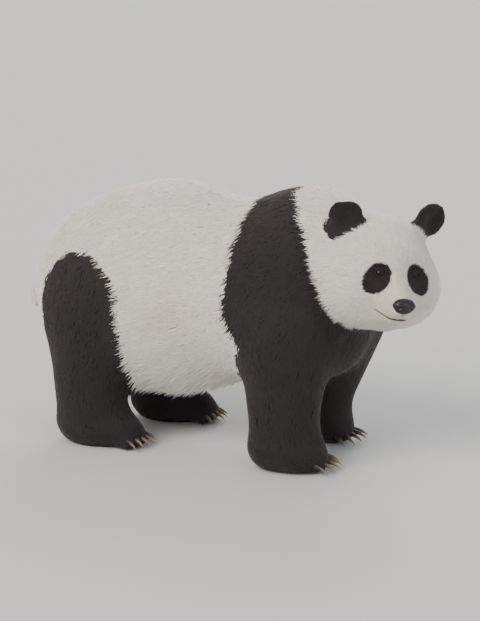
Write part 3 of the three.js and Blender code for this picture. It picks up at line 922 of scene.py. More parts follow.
@dataclass
class Mouth:
    """The closed mouth: a line round the muzzle that turns up at its corners, and a furrow down from the nose.

    Places are ahead and up, in the head's own frame, and heights of the pads and lips are from the line. All are in
    millimetres.
    """

    front: tuple[float, float] = (186, -81)
    corner: tuple[float, float] = (116, -67)
    corner_fade: tuple[float, float] = (-8, 4)  # from the corner, where the line begins
    half_width: float = 75  # of the muzzle, which the line ends within
    sag: float = 4.0  # how far the line hangs between its front and its corner
    depth: float = 5.0
    width: float = 3.0
    furrow_ahead: tuple[float, float] = (170, 178)
    furrow_top: float = -64
    furrow_width: float = 1.9
    furrow_depth: float = 2.3
    pad_at: tuple[float, float] = (20, 17)  # aside and up
    pad_size: tuple[float, float] = (12, 13)
    pad_ahead: tuple[float, float] = (138, 160)
    pad_bulge: float = 2.6
    lip_at: float = -6.5
    lip_width: float = 4.2
    lip_ahead: tuple[float, float] = (118, 150)
    lip_bulge: float = 0.9
    leather_at: float = -1.7
    leather_half: float = 4.3  # half the height of the bare skin

    def height_at(self, x: Array) -> Array:
        """Gives the height of the line between the lips."""
        share = np.clip((self.front[0] - x) / (self.front[0] - self.corner[0]), 0, 1.3)
        return self.front[1] - self.sag * np.sin(share * math.pi) + (self.corner[1] - self.front[1]) * share**2

    def cut_into(self, points: Array, normals: Array) -> tuple[Array, Array]:
        """Presses the line and the furrow into the muzzle and fills out the pads beside them.

        Args:
            points: The skin's points in the head's own frame.
            normals: The skin's outward ways there.

        Returns:
            The moved points, and how bare each is.
        """
        x, y, z = points.T
        over = z - self.height_at(x)
        out = np.abs(y)
        begins, whole = (self.corner[0] + further for further in self.corner_fade)
        on_muzzle = smoothstep(begins, whole, x) * (out < self.half_width)
        line = hump((over, self.width)) * on_muzzle
        furrow = hump((y, self.furrow_width)) * smoothstep(*self.furrow_ahead, x) * smoothstep(-2, 3, over)
        furrow = furrow * (1 - smoothstep(self.furrow_top, self.furrow_top + 6, z))
        pads = hump((over - self.pad_at[1], self.pad_size[1]), (out - self.pad_at[0], self.pad_size[0]))
        pads = pads * smoothstep(*self.pad_ahead, x)
        lip = hump((over - self.lip_at, self.lip_width)) * on_muzzle * smoothstep(*self.lip_ahead, x)
        press = self.depth * line + self.furrow_depth * furrow - self.pad_bulge * pads - self.lip_bulge * lip
        bare = np.maximum(np.exp(-(((over - self.leather_at) / self.leather_half) ** 4)) * on_muzzle, furrow)
        return points - normals * press[:, None], bare


@dataclass
class Pelt:
    """The skin and the coat's outer surface over it, as one net of points with what grows at each.

    Attributes:
        skin: The skin's points.
        top: Where the coat's outer surface is above each.
        faces: Triangles, as the numbers of their points.
        normals: The outward way at each point.
        region: The number of each point's region.
        values: Depth, length, width and spacing of the hair, its marking and so on, for each point.
        lay: The way that hair lies at each point.
    """

    skin: Array
    top: Array
    faces: Array
    normals: Array
    region: Array
    values: dict[str, Array]
    lay: Array


@dataclass
class Ear:
    """The round disc of an ear, whose rim the solid has in facets. Sizes are in millimetres, in the head's frame."""

    sign: float
    reach: float = 195  # from the head's middle
    lean: float = 38  # degrees from the crown
    facing: float = 24  # degrees outwards
    half: tuple[float, float] = (50, 53)
    ahead: float = -4  # where its disc stands
    thick: float = 34  # how far before and behind the disc a point may be to count as the ear's
    beyond: float = 1.3  # how far out it may be, of the half sizes
    past_level: float = 0.5  # radians under level, where the rim ends on each side
    steps: int = 24  # places on the rim
    step: float = 0.12  # radians that each looks to either side
    full: float = 1.01  # of its half sizes, the even rim

    def axes(self) -> Array:
        """Finds the ear's own axes.

        Returns:
            Its ahead, left and up as rows, in the head's frame.
        """
        lean, turn = math.radians(self.lean) * self.sign, math.radians(self.facing) * self.sign
        leaning = np.array([[1, 0, 0], [0, math.cos(lean), math.sin(lean)], [0, -math.sin(lean), math.cos(lean)]])
        turned = np.array([[math.cos(turn), -math.sin(turn), 0], [math.sin(turn), math.cos(turn), 0], [0, 0, 1]])
        return (leaning @ turned).T

    def rounded(self, local: Array) -> Array:
        """Draws the rim out, or in, to an even curve.

        Args:
            local: Points in the head's frame.

        Returns:
            The points, with those of the ear's rim moved.
        """
        lean = math.radians(self.lean)
        middle = np.array([self.ahead, self.sign * self.reach * math.sin(lean), self.reach * math.cos(lean)])
        axes = self.axes()
        seen = (local - middle) @ axes.T
        out = np.hypot(seen[:, 1] / self.half[0], seen[:, 2] / self.half[1])
        angle = np.arctan2(seen[:, 2] / self.half[1], seen[:, 1] / self.half[0])
        start, end = -self.past_level, math.pi + self.past_level
        ear = (np.abs(seen[:, 0]) < self.thick) & (out < self.beyond) & (angle > start) & (angle < end)
        places = np.linspace(start, end, self.steps)
        rim = [out[ear & (np.abs(angle - place) < self.step)].max(initial=0.8) for place in places]
        change = self.full / np.interp(angle, places, rim)
        amount = ear * smoothstep(0.4, 0.9, out) * smoothstep(-20, 8, seen[:, 2])
        seen[:, 1:] *= mixed(1.0, change, amount)[:, None]
        return seen @ axes + middle


@dataclass
class Body:
    """The one hide over the flesh, from a first shell round the solids to lids and lips. Sizes are in millimetres."""

    head: HeadFrame
    frame: dict
    voxel: float = 9.3  # the first net's meshes
    overlap: float = 0.7  # closes the thin cuts between the solids
    head_half: tuple[float, float, float] = (215, 190, 225)  # of the egg that holds the head
    head_reach: float = 230  # of the ball that does
    ear_out: float = 60  # the ears lie outside this and above the next
    ear_up: float = 95
    feet: float = 95  # the feet lie below this
    finer_up: float = 20  # how far the egg that gets a finer net is raised
    finer_back: float = -70  # where it is cut off behind
    finer_feet: float = 62  # the feet get one below this
    face: Block = Block((66, 235), 92, (-128, 70))  # gets a finer one yet
    lips: Block = Block((112, 230), 54, (-102, -60))  # these get the finest
    nose: Block = Block((166, 230), 30, (-102, -38))
    eye_reach: float = 26
    evening: int = 34  # rounds that take the facets off
    firm: float = 0.24  # how much of that the face and feet take
    softening: int = 26  # rounds for the neck and upper arms
    sole_height: float = 20
    floor_gap: float = 0.2
    stand: float = 1.5  # how far tips lie over or under the coat's outer surface
    draw_on_head: float = 0.35  # how strongly hair clumps there
    draw: float = 0.8
    ruff: Extra = (("length", 20), ("depth", 3), ("stand", 8), ("draw", 0.9))
    ear_rim_stand: float = 1.5  # more than elsewhere
    belly: Extra = (("length", 22), ("stand", 13), ("droop", 1))
    parting: tuple[float, float, float] = (198, 0, -42)  # in the head's own frame, where the hair of the face parts

    def flesh(self) -> list[str]:
        """Names the solids that the hide replaces."""
        apart = ("claw_", "eye_left", "eye_right", "nose")
        return sorted(name for name in self.frame["nodes"] if not name.startswith(apart))

    def shell(self) -> tuple[bmesh.types.BMesh, BVHTree, Array]:
        """Joins the solids into one closed surface.

        Returns:
            The surface, a search tree of the solids' faces, and the region of each of those faces.
        """
        joined, regions = bmesh.new(), []
        for name in [*self.flesh(), "nose", "eye_left", "eye_right"]:
            part = bmesh.new()
            part.from_mesh(self.frame["nodes"][name].data)
            bmesh.ops.remove_doubles(part, verts=part.verts, dist=0.01 * MM)
            part.normal_update()
            for vert, way in [(v, v.normal.copy()) for v in part.verts]:
                vert.co += way * self.overlap * MM
            mesh = bpy.data.meshes.new("part")
            part.to_mesh(mesh)
            joined.from_mesh(mesh)
            regions += [region_of(name).value] * len(part.faces)
            part.free()
        search = BVHTree.FromBMesh(joined)
        mesh = bpy.data.meshes.new("joined")
        joined.to_mesh(mesh)
        joined.free()
        probe = bpy.data.objects.new("joined", mesh)
        bpy.context.scene.collection.objects.link(probe)
        remesh = probe.modifiers.new("one_hide", "REMESH")
        remesh.mode, remesh.voxel_size = "VOXEL", self.voxel * MM
        whole = bmesh.new()
        whole.from_object(probe, bpy.context.evaluated_depsgraph_get())
        bpy.data.objects.remove(probe)
        self.keep_outside(whole)
        return whole, search, np.array(regions)

    def keep_outside(self, shell: bmesh.types.BMesh) -> None:
        """Drops the bubbles that thin gaps leave inside the shell.

        Args:
            shell: The joined surface, which loses them.
        """
        seen, islands = set(), []
        for start in shell.verts:
            if start in seen:
                continue
            island, front = [], [start]
            seen.add(start)
            while front:
                vert = front.pop()
                island.append(vert)
                for other in (edge.other_vert(vert) for edge in vert.link_edges):
                    if other not in seen:
                        seen.add(other)
                        front.append(other)
            islands.append(island)
        islands.sort(key=len)
        bmesh.ops.delete(shell, geom=[v for island in islands[:-1] for v in island], context="VERTS")

    def refine(self, shell: bmesh.types.BMesh) -> None:
        """Halves the net over the head and paws, again over the face, and again round the eyes and lips.

        Args:
            shell: The joined surface, which ends up as triangles.
        """
        for level in range(3):
            middles = np.array([f.calc_center_median() for f in shell.faces])
            local = self.head.inside(middles)
            if level == 0:
                egg = np.sum(((local - np.array([0, 0, self.finer_up])) / self.head_half) ** 2, axis=1) < 1
                chosen = (egg & (local[:, 0] > self.finer_back)) | (middles[:, 2] < self.finer_feet * MM)
            elif level == 1:
                chosen = self.face.holds(local)
            else:
                chosen = (self.head.from_eyes(local) < self.eye_reach) | self.lips.holds(local) | self.nose.holds(local)
            picked = [face for face, yes in zip(shell.faces, chosen) if yes]
            edges = list({edge for face in picked for edge in face.edges})
            bmesh.ops.subdivide_edges(shell, edges=edges, cuts=1, use_grid_fill=True)
            shell.normal_update()
            finer = list({v for edge in edges if edge.is_valid for v in edge.verts})
            bmesh.ops.smooth_vert(shell, verts=finer, factor=0.3, use_axis_x=True, use_axis_y=True, use_axis_z=True)
        bmesh.ops.triangulate(shell, faces=shell.faces, quad_method="BEAUTY", ngon_method="BEAUTY")

    def build(self) -> Pelt:
        """Makes the hide and everything that the coat needs to know about it.

        Returns:
            The hide.
        """
        shell, search, solid_regions = self.shell()
        shell.verts.ensure_lookup_table()
        edges = np.array([[v.index for v in e.verts] for e in shell.edges])
        points = np.array([v.co for v in shell.verts])
        local = self.head.inside(points)
        in_head = np.linalg.norm(local / np.array(self.head_half), axis=1) < 1
        in_ear = in_head & (np.abs(local[:, 1]) > self.ear_out) & (local[:, 2] > self.ear_up)
        kept = (in_head & ~in_ear & (local[:, 0] > 0)) | (points[:, 2] < self.feet * MM)
        share = np.where(kept, self.firm, 1.0)[:, None]
        net = Net(edges, len(points))
        points = net.smooth(points, self.evening, share)
        points = net.smooth(points, self.evening, in_ear[:, None] * 1.0)
        points = net.spread(points, self.softening, 0.5 * self.fleshy(points, local, in_ear)[:, None])
        local = self.head.inside(points)
        for sign in SIDES.values():
            local = Ear(sign).rounded(local)
        points = self.head.outside(local)
        for vert, co in zip(shell.verts, points):
            vert.co = co
        self.refine(shell)
        mesh = bpy.data.meshes.new("shell")
        shell.to_mesh(mesh)
        shell.free()
        top = points_of(mesh)
        faces = np.zeros(len(mesh.polygons) * 3, np.int32)
        mesh.loops.foreach_get("vertex_index", faces)
        faces = faces.reshape(-1, 3)
        ends = np.zeros(len(mesh.edges) * 2, np.int32)
        mesh.edges.foreach_get("vertices", ends)
        net = Net(ends.reshape(-1, 2), len(top))
        top = net.smooth(top, 3, 0.8)
        top[:, 2] = np.maximum(top[:, 2], self.floor_gap * MM)
        normals = normals_of(top, faces)
        nearest = [search.find_nearest(Vector(p))[2] for p in top]
        region = solid_regions[nearest]
        return self.dress(top, faces, normals, region, net)

    def fleshy(self, points: Array, local: Array, in_ear: Array) -> Array:
        """Gives how far each point is in the neck or on an upper arm, where thick flesh and coat leave no corners.

        Args:
            points: The joined surface's points.
            local: The same in the head's own frame.
            in_ear: Which of them are on an ear.

        Returns:
            A share for each point.
        """
        x, y, z = points.T / MM
        arm = smoothstep(90, 150, x) * smoothstep(120, 160, np.abs(y)) * smoothstep(300, 380, z)
        neck = (1 - smoothstep(-40, 0, local[:, 0])) * smoothstep(200, 280, x) * ~in_ear
        return np.maximum(arm, neck)

    def dress(self, top: Array, faces: Array, normals: Array, region: Array, net: Net) -> Pelt:
        """Sets the hair's sizes, sinks the skin under the coat and shapes the face.

        Args:
            top: The coat's outer surface.
            faces: Its triangles.
            normals: Its outward ways.
            region: The region of each point.
            net: Its points and edges.

        Returns:
            The finished hide.
        """
        local = self.head.inside(top)
        values = {key: np.array([getattr(HAIR[r], key) for r in Region], float)[region] for key in HAIR_SIZES}
        values["stand"] = np.full(len(top), self.stand)
        values["droop"] = np.zeros(len(top))
        values["draw"] = np.where(np.linalg.norm(local, axis=1) < self.head_reach, self.draw_on_head, self.draw)
        self.shorten_face(values, local, region)
        self.shorten_soles(values, top, normals)
        self.hang_belly(values, top, normals, region)
        values = {key: net.spread(value, 5) for key, value in values.items()}
        under_pad = net.spread((region == Region.NOSE.value).astype(float), 3)
        depth = net.spread(values["depth"], 6)
        skin = top - normals * depth[:, None] * MM
        skin = mixed(skin, net.spread(skin, 3), smoothstep(7, 14, depth)[:, None])
        skin, bare = self.shape_face(skin, faces)
        values["bare"] = np.maximum(bare, values["bald"])
        for hairless in (bare, under_pad):
            values["bald"] = np.maximum(values["bald"], smoothstep(0.8, 1.0, hairless))
        raised = skin + normals_of(skin, faces) * depth[:, None] * MM
        in_face = (smoothstep(30, 70, local[:, 0]) * (np.linalg.norm(local, axis=1) < 260))[:, None]
        top = mixed(top, raised, in_face)
        values["marking"] = Markings(self.head).of(top, region)
        lay = self.lay_of(top, normals, region, local, net)
        return Pelt(skin, top, faces, normals_of(top, faces), region, values, lay)

    def shorten_face(self, values: dict[str, Array], local: Array, region: Array) -> None:
        """Makes hair short on the muzzle, longer towards the crown, and longest in the ruff of the cheeks.

        Args:
            values: The hair's sizes at each point, which are changed.
            local: The points in the head's own frame.
            region: The region of each.
        """
        on_head = np.isin(region, [Region.HEAD.value, Region.JAW.value])
        x, y, z = local.T
        from_nose = np.linalg.norm(local - np.array(self.head.nose_at), axis=1)
        share = smoothstep(45, 215, from_nose)
        ruff = smoothstep(78, 128, np.abs(y)) * (1 - smoothstep(5, 60, z)) * (1 - smoothstep(60, 110, x))
        below = smoothstep(-70, -120, z) * (1 - smoothstep(60, 120, x))
        for key in HAIR_SIZES:
            grown = mixed(getattr(MUZZLE_HAIR, key), getattr(HAIR[Region.HEAD], key), share)
            values[key] = np.where(on_head, grown, values[key])
        longer = np.where(on_head, np.maximum(ruff, below), 0)
        for key, more in self.ruff:
            values[key] += more * longer
        by_lips = np.where(x > 92, np.abs(z - Mouth().height_at(x)), 99)
        close = np.maximum(1 - smoothstep(18, 40, self.head.from_eyes(local)), 0.9 * hump((by_lips, 9)))
        for key in HAIR_SIZES:
            values[key] = mixed(values[key], getattr(LIP_HAIR, key), close)
        rim = (region == Region.EAR.value) * smoothstep(195, 232, np.linalg.norm(local, axis=1))
        values["stand"] += self.ear_rim_stand * rim

    def shorten_soles(self, values: dict[str, Array], top: Array, normals: Array) -> None:
        """Leaves the soles bare and lets the hair above them touch the floor.

        Args:
            values: The hair's sizes at each point, which are changed.
            top: The coat's outer surface.
            normals: Its outward ways.
        """
        sole = (1 - smoothstep(6, self.sole_height, top[:, 2] / MM)) * smoothstep(0.25, 0.7, -normals[:, 2])
        values["depth"] *= 1 - 0.95 * sole
        values["bald"] = sole

    def hang_belly(self, values: dict[str, Array], top: Array, normals: Array, region: Array) -> None:
        """Lets the hair along the belly's edge hang in ragged locks.

        Args:
            values: The hair's sizes at each point, which are changed.
            top: The coat's outer surface.
            normals: Its outward ways.
            region: The region of each point.
        """
        under = smoothstep(0.1, 0.75, -normals[:, 2]) * (region == Region.TRUNK.value)
        under = under * smoothstep(0.32, 0.22, top[:, 2])
        for key, more in self.belly:
            values[key] += more * under

    def shape_face(self, skin: Array, faces: Array) -> tuple[Array, Array]:
        """Draws the mouth and the lids into the skin.

        Args:
            skin: The skin's points.
            faces: Its triangles.

        Returns:
            The moved points, and how bare each is.
        """
        local = self.head.inside(skin)
        near = (np.linalg.norm(local, axis=1) < self.head_reach) & (local[:, 0] > 60)
        ways = (normals_of(skin, faces) @ self.head.axes.T)[near]
        face, bare = Mouth().cut_into(local[near], ways)
        for side, sign in SIDES.items():
            low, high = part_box(f"eye_{side}")
            middle = self.head.inside(np.array((low + high) / 2)[None])[0]
            radius = float(min(high - low)) / 2 / MM
            face, lids = Eyelids(sign, radius, middle).close_over(face)
            bare = np.maximum(bare, lids)
        local[near] = face
        everywhere = np.zeros(len(skin))
        everywhere[near] = bare
        return self.head.outside(local), everywhere

    def lay_of(self, top: Array, normals: Array, region: Array, local: Array, net: Net) -> Array:
        """Combs the coat: back and down over the trunk, down the legs, and away from the nose over the head.

        Args:
            top: The coat's outer surface.
            normals: Its outward ways.
            region: The region of each point.
            local: The points in the head's own frame.
            net: The points and edges.

        Returns:
            The way that hair lies at each point, along the surface.
        """
        count = len(top)
        side = np.sign(top[:, 1])
        ways = np.tile([-1.0, 0.0, -0.42], (count, 1))
        ways[:, 1] = side * 0.3 * np.clip(normals[:, 2], 0, 1)
        from_head = unit(top - self.head.outside(np.array([0.0, 0, 0])))
        from_nose = unit(self.head.way((local - np.array(self.parting)) * np.array([1, 1.15, 1])))
        sag = self.head.way([0, 0, -1]) * (0.45 * smoothstep(60, 110, np.abs(local[:, 1])))[:, None]
        combed = {
            Region.SHOULDERS: np.tile([-0.7, 0, -0.85], (count, 1)),
            Region.NECK: from_head * 0.8 + np.array([-0.5, 0, -0.45]),
            Region.HEAD: from_nose + sag,
            Region.JAW: from_nose + sag,
            Region.NOSE: from_nose,
            Region.PATCH: from_nose,
            Region.EAR: unit(top - self.head.outside(np.array([-30.0, 0, 40]))),
            Region.UPPER_LEG: np.tile([-0.3, 0, -1.0], (count, 1)),
            Region.LOWER_LEG: np.tile([-0.12, 0, -1.0], (count, 1)),
            Region.TAIL: np.tile([-0.25, 0, -1.0], (count, 1)),
        }
        for kind, lay in combed.items():
            mask = region == kind.value
            ways[mask] = unit(lay[mask])
        for low, high in (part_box(name) for name in self.frame["nodes"] if "paw" in name):
            inside = np.all((top > np.array(low) - 0.02) & (top < np.array(high) + 0.02), axis=1)
            heel = np.array([low.x * 0.72 + high.x * 0.28, (low.y + high.y) / 2, 0.1])
            mask = inside & (region == Region.PAW.value)
            ways[mask] = unit((top[mask] - heel) * np.array([1, 1, 0.9]) + np.array([0.0, 0, -0.03]))
        for _ in range(8):
            ways = unit(ways - normals * dot(ways, normals) * 0.9)
            ways = net.spread(ways, 1)
        return unit(ways - normals * dot(ways, normals))

    def place(self, pelt: Pelt, material: bpy.types.Material) -> bpy.types.Object:
        """Puts the hide in the scene, in place of the solids of flesh.

        Args:
            pelt: The hide.
            material: What it is made of.

        Returns:
            The piece.
        """
        mesh = mesh_of("hide", pelt.skin, pelt.faces)
        add_values(mesh, "marking", pelt.values["marking"])
        add_values(mesh, "bare", pelt.values["bare"])
        hide = placed("hide", mesh, material)
        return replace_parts(hide, *self.flesh())


# ---------------------------------------------------------------- the coat


@dataclass(frozen=True)
class CoatPiece:
    """One piece of the coat: its name, the regions that it grows on, and the side where it is one of a pair."""

    name: str
    regions: tuple[Region, ...]
    slot: Slot
    side: int = 0
    fore: int = 0  # 1 for the fore end of the body only and -1 for the hind end


COAT_PIECES = (
    CoatPiece("coat_flank_right", (Region.TRUNK,), Slot.PALE_FUR, -1),
    CoatPiece("coat_flank_left", (Region.TRUNK,), Slot.PALE_FUR, 1),
    CoatPiece("coat_shoulders", (Region.SHOULDERS,), Slot.DARK_FUR),
    CoatPiece("coat_neck_and_tail", (Region.NECK, Region.TAIL), Slot.PALE_FUR),
    CoatPiece("coat_head_right", FACE, Slot.PALE_FUR, -1),
    CoatPiece("coat_head_left", FACE, Slot.PALE_FUR, 1),
    CoatPiece("coat_ears_and_eye_patches", (Region.EAR, Region.PATCH), Slot.DARK_FUR),
    CoatPiece("coat_foreleg_right", LEG, Slot.DARK_FUR, -1, 1),
    CoatPiece("coat_foreleg_left", LEG, Slot.DARK_FUR, 1, 1),
    CoatPiece("coat_hindleg_right", LEG, Slot.DARK_FUR, -1, -1),
    CoatPiece("coat_hindleg_left", LEG, Slot.DARK_FUR, 1, -1),
)


# A lock is a closed wedge. These are its triangles over the two points of its root (0 and 1), the left, top and right
# points of its middle (2 to 4) and its tip (5), and their places when the lock is rolled out, across and along.
LOCK_FACES = [[0, 3, 2], [0, 1, 3], [1, 4, 3], [0, 2, 4], [0, 4, 1], [2, 3, 5], [3, 4, 5], [4, 2, 5]]
LOCK_MAP = [
    [(0.1, 0), (0.34, 0.5), (0, 0.5)],
    [(0.1, 0), (0.58, 0), (0.34, 0.5)],
    [(0.58, 0), (0.67, 0.5), (0.34, 0.5)],
    [(1, 0), (1, 0.5), (0.67, 0.5)],
    [(1, 0), (0.67, 0.5), (0.6, 0)],
    [(0, 0.5), (0.34, 0.5), (0.17, 1)],
    [(0.34, 0.5), (0.67, 0.5), (0.5, 1)],
    [(0.67, 0.5), (1, 0.5), (0.84, 1)],
]
LOCK_ALONG = [0.0, 0.0, 0.55, 0.55, 0.55, 1.0]
LOCK_UNDERSIDE = [3, 4, 7]  # the triangles that face the body


@dataclass
class Roots:
    """Where the locks of a piece stand.

    Attributes:
        corners: The three points of the hide's triangle under each root.
        share: How much of each of those points a root takes.
        places: Each root's place on the bake map.
    """

    corners: Array
    share: Array
    places: Array

    def read(self, values: Array) -> Array:
        """Reads values of the hide's points at the roots."""
        return np.einsum("nk,nk...->n...", self.share, values[self.corners])


@dataclass
class Coat:
    """Locks of hair rooted in the hide.

    Each is a thin closed wedge, flat underneath, that rises and lies over. Operators make no such coat of many
    thousands, so it comes from arrays.
    """

    pelt: Pelt
    head: HeadFrame
    thick: float = 0.42  # of the lock's width
    sink: float = 1.5  # mm that a root goes into the skin
    stray: float = 11  # degrees that a lock strays from its neighbours' way
    sway: float = 0.22  # radians that whole patches do
    uneven: float = 0.14  # how much locks differ in length
    uneven_patches: float = 0.1  # how much whole patches do
    shortest: float = 0.45  # of the length that belongs there
    bend_at: float = 0.42  # of a lock's reach
    hollow: float = 0.16  # of the coat's depth, how far its bend lies under the outer surface
    marked_at: float = 0.72  # of its reach, where it takes its marking
    clump: float = 9  # locks that draw together
    draw: float = 0.3  # how far they do
    flattest: float = 0.6  # mm, the least depth of coat and the gap over the floor
    hair_wide: float = 0.9  # mm across one strand of the bump
    hair_long: float = 14  # mm along it
    soft: float = 0.6  # how far a lock's shading turns towards the body's
    patch: float = 0.003  # of the bake map's width, for each lock
    chance: np.random.Generator = field(default_factory=lambda: np.random.default_rng(SEED))
    top_search: BVHTree = field(init=False)

    def __post_init__(self) -> None:
        """Prepares the search for the coat's outer surface."""
        points = [Vector(p) for p in self.pelt.top]
        self.top_search = BVHTree.FromPolygons(points, self.pelt.faces.tolist())

    def faces_of(self, piece: CoatPiece) -> Array:
        """Finds the triangles that a piece of the coat grows on.

        Args:
            piece: Which piece.

        Returns:
            The three points of each triangle.
        """
        corners = self.pelt.faces
        region = self.pelt.region[corners[:, 0]]
        middle = self.pelt.top[corners].mean(1)
        chosen = np.isin(region, [r.value for r in piece.regions])
        on_head = piece.regions[0] is Region.HEAD
        across = self.head.inside(middle)[:, 1] if on_head else middle[:, 1]
        if piece.side:
            chosen &= (across < 0) == (piece.side < 0)
        if piece.fore:
            chosen &= (middle[:, 0] > 0) == (piece.fore > 0)
        return corners[chosen]

    def unwrap(self, corners: Array) -> Array:
        """Unwraps a part of the hide for the bake map.

        Args:
            corners: The triangles of that part.

        Returns:
            The place of each triangle's corners on the map.
        """
        kept, faces = np.unique(corners, return_inverse=True)
        mesh = mesh_of("unwrap", self.pelt.skin[kept], faces.reshape(-1, 3))
        mesh.uv_layers.new(name="unwrap")
        probe = bpy.data.objects.new("unwrap", mesh)
        bpy.context.scene.collection.objects.link(probe)
        bpy.context.view_layer.objects.active = probe
        probe.select_set(True)
        bpy.ops.object.mode_set(mode="EDIT")
        bpy.ops.mesh.select_all(action="SELECT")
        bpy.ops.uv.smart_project(angle_limit=math.radians(66), island_margin=0.004)
        bpy.ops.object.mode_set(mode="OBJECT")
        places = np.zeros(len(mesh.loops) * 2, np.float32)
        mesh.uv_layers["unwrap"].data.foreach_get("uv", places)
        bpy.data.objects.remove(probe)
        bpy.data.meshes.remove(mesh)
        return places.reshape(-1, 3, 2)

    def roots(self, corners: Array) -> Roots:
        """Spreads roots over triangles, as close as the hair there stands.

        Args:
            corners: The triangles that the piece grows on.

        Returns:
            The roots.
        """
        value = self.pelt.values
        points = self.pelt.top[corners]
        area = np.linalg.norm(np.cross(points[:, 1] - points[:, 0], points[:, 2] - points[:, 0]), axis=1) / 2
        apart = value["apart"][corners].mean(1) * MM
        bald = value["bald"][corners].mean(1)
        wanted = area / apart**2 * (bald < 0.45)
        so_far = np.floor(np.cumsum(wanted) + self.chance.random())
        count = np.diff(so_far, prepend=0).astype(int)
        triangle = np.repeat(np.arange(len(corners)), count)
        one, other = self.chance.random((2, len(triangle)))
        root = np.sqrt(one)
        share = np.stack([1 - root, root * (1 - other), root * other], 1)
        return Roots(corners[triangle], share, np.einsum("nk,nkc->nc", share, self.unwrap(corners)[triangle]))

    def grow(self, piece: CoatPiece, material: bpy.types.Material) -> bpy.types.Object:
        """Grows one piece of the coat.

        Args:
            piece: Which piece.
            material: What its hair is made of.

        Returns:
            The piece, in the scene.
        """
        roots = self.roots(self.faces_of(piece))
        value = {key: roots.read(values) for key, values in self.pelt.values.items()}
        skin, top = roots.read(self.pelt.skin), roots.read(self.pelt.top)
        normal, lay = unit(roots.read(self.pelt.normals)), unit(roots.read(self.pelt.lay))
        count = len(top)

        stray = np.radians(self.stray) * self.chance.normal(size=count) + self.sway * waves(top, 0.085, 3)
        lay = lay * np.cos(stray)[:, None] + np.cross(normal, lay) * np.sin(stray)[:, None]
        longer = 1 + self.uneven * self.chance.normal(size=count) + self.uneven_patches * waves(top, 0.06, 5)
        length = np.maximum(value["length"] * longer, self.shortest * value["length"]) * MM
        depth = np.maximum(np.linalg.norm(top - skin, axis=1), self.flattest * MM)
        reach = np.sqrt(np.maximum(length**2 - depth**2, (0.4 * length) ** 2))
        stand = value["stand"] * MM * self.chance.uniform(-1.0, 0.9, count)
        drop = value["droop"] * length * self.chance.uniform(0, 0.3, count)
        tip = self.tips(top + lay * reach[:, None], stand) - np.outer(drop, [0, 0, 1])
        bend = top + lay * (reach * self.bend_at)[:, None] - normal * (depth * self.hollow)[:, None]
        tip, bend, tuft = self.clumped(top, tip, bend, value["draw"])
        marking = self.marking_at(top + lay * (reach * self.marked_at)[:, None])
        unsure = marking * (1 - marking) * self.chance.normal(size=count)
        dark = (marking + 0.6 * unsure > 0.5).astype(float)
        shade = np.clip(0.5 + 0.22 * self.chance.normal(size=count) + 0.2 * tuft, 0, 1)

        points = self.wedges(skin - normal * self.sink * MM, bend, tip, normal, value["width"] * MM)
        points[..., 2] = np.maximum(points[..., 2], self.flattest * MM)
        each = len(LOCK_ALONG)
        faces = (np.arange(count) * each)[:, None, None] + np.array(LOCK_FACES)
        mesh = mesh_of(piece.name, points.reshape(-1, 3), faces.reshape(-1, 3))
        around = np.array(LOCK_MAP) - 0.5
        add_map(mesh, BAKE_MAP, roots.places[:, None, None] + around * self.patch)
        strands = np.stack([value["width"] / self.hair_wide, value["length"] / self.hair_long], 1)
        lines = np.array(LOCK_MAP) * strands[:, None, None]
        add_map(mesh, "Strand", lines + self.chance.uniform(0, 90, (count, 1, 1, 2)))
        mesh.uv_layers.active = mesh.uv_layers[BAKE_MAP]
        add_values(mesh, "marking", np.repeat(dark, each))
        add_values(mesh, "shade", np.repeat(shade, each))
        add_values(mesh, "along", np.tile(LOCK_ALONG, count))
        mesh.normals_split_custom_set(self.soft_normals(points, normal).reshape(-1, 3))
        return placed(piece.name, mesh, material)

    def soft_normals(self, points: Array, normal: Array) -> Array:
        """Turns the locks' shading towards the body's own, so that the coat takes the light as one soft surface.

        Args:
            points: The six points of each lock.
            normal: The body's outward way at each.

        Returns:
            The shading normal of each corner of each lock's triangles.
        """
        corners = points[:, np.array(LOCK_FACES)]
        own = unit(np.cross(corners[:, :, 1] - corners[:, :, 0], corners[:, :, 2] - corners[:, :, 0]))
        share = np.where(np.isin(np.arange(len(LOCK_FACES)), LOCK_UNDERSIDE), 0.0, self.soft)[None, :, None]
        seen = unit(mixed(own, normal[:, None], share))
        facing = dot(seen, own) > 0.1
        return np.repeat(np.where(facing, seen, own)[:, :, None], 3, 2)

    def tips(self, wanted: Array, stand: Array) -> Array:
        """Brings the tips of locks to the coat's outer surface, each so far proud of it as it stands out."""
        found = [self.top_search.find_nearest(Vector(p)) for p in wanted]
        return np.array([f[0] for f in found]) + np.array([f[1] for f in found]) * stand[:, None]

    def marking_at(self, places: Array) -> Array:
        """Reads the marking of the outer surface next to each place."""
        nearest = [self.top_search.find_nearest(Vector(p))[2] for p in places]
        return self.pelt.values["marking"][self.pelt.faces[nearest]].mean(1)

    def clumped(self, top: Array, tip: Array, bend: Array, draw: Array) -> tuple[Array, Array, Array]:
        """Draws each lock towards the leading one nearest to it.

        Args:
            top: The outer surface above each root.
            tip: The locks' tips.
            bend: Their middles.
            draw: How strongly the hair clumps there.

        Returns:
            The drawn tips and middles, and a chance value that the locks of a clump share.
        """
        leads = np.flatnonzero(self.chance.random(len(top)) < 1 / self.clump)
        tree = KDTree(len(leads))
        for number, lead in enumerate(leads):
            tree.insert(top[lead], number)
        tree.balance()
        mine = leads[[tree.find(p)[1] for p in top]]
        share = self.draw * self.chance.uniform(0.5, 1.2, (len(top), 1)) * draw[:, None]
        value = self.chance.uniform(-1, 1, len(top))[mine]
        return mixed(tip, tip[mine], share), mixed(bend, bend[mine], share * 0.35), value

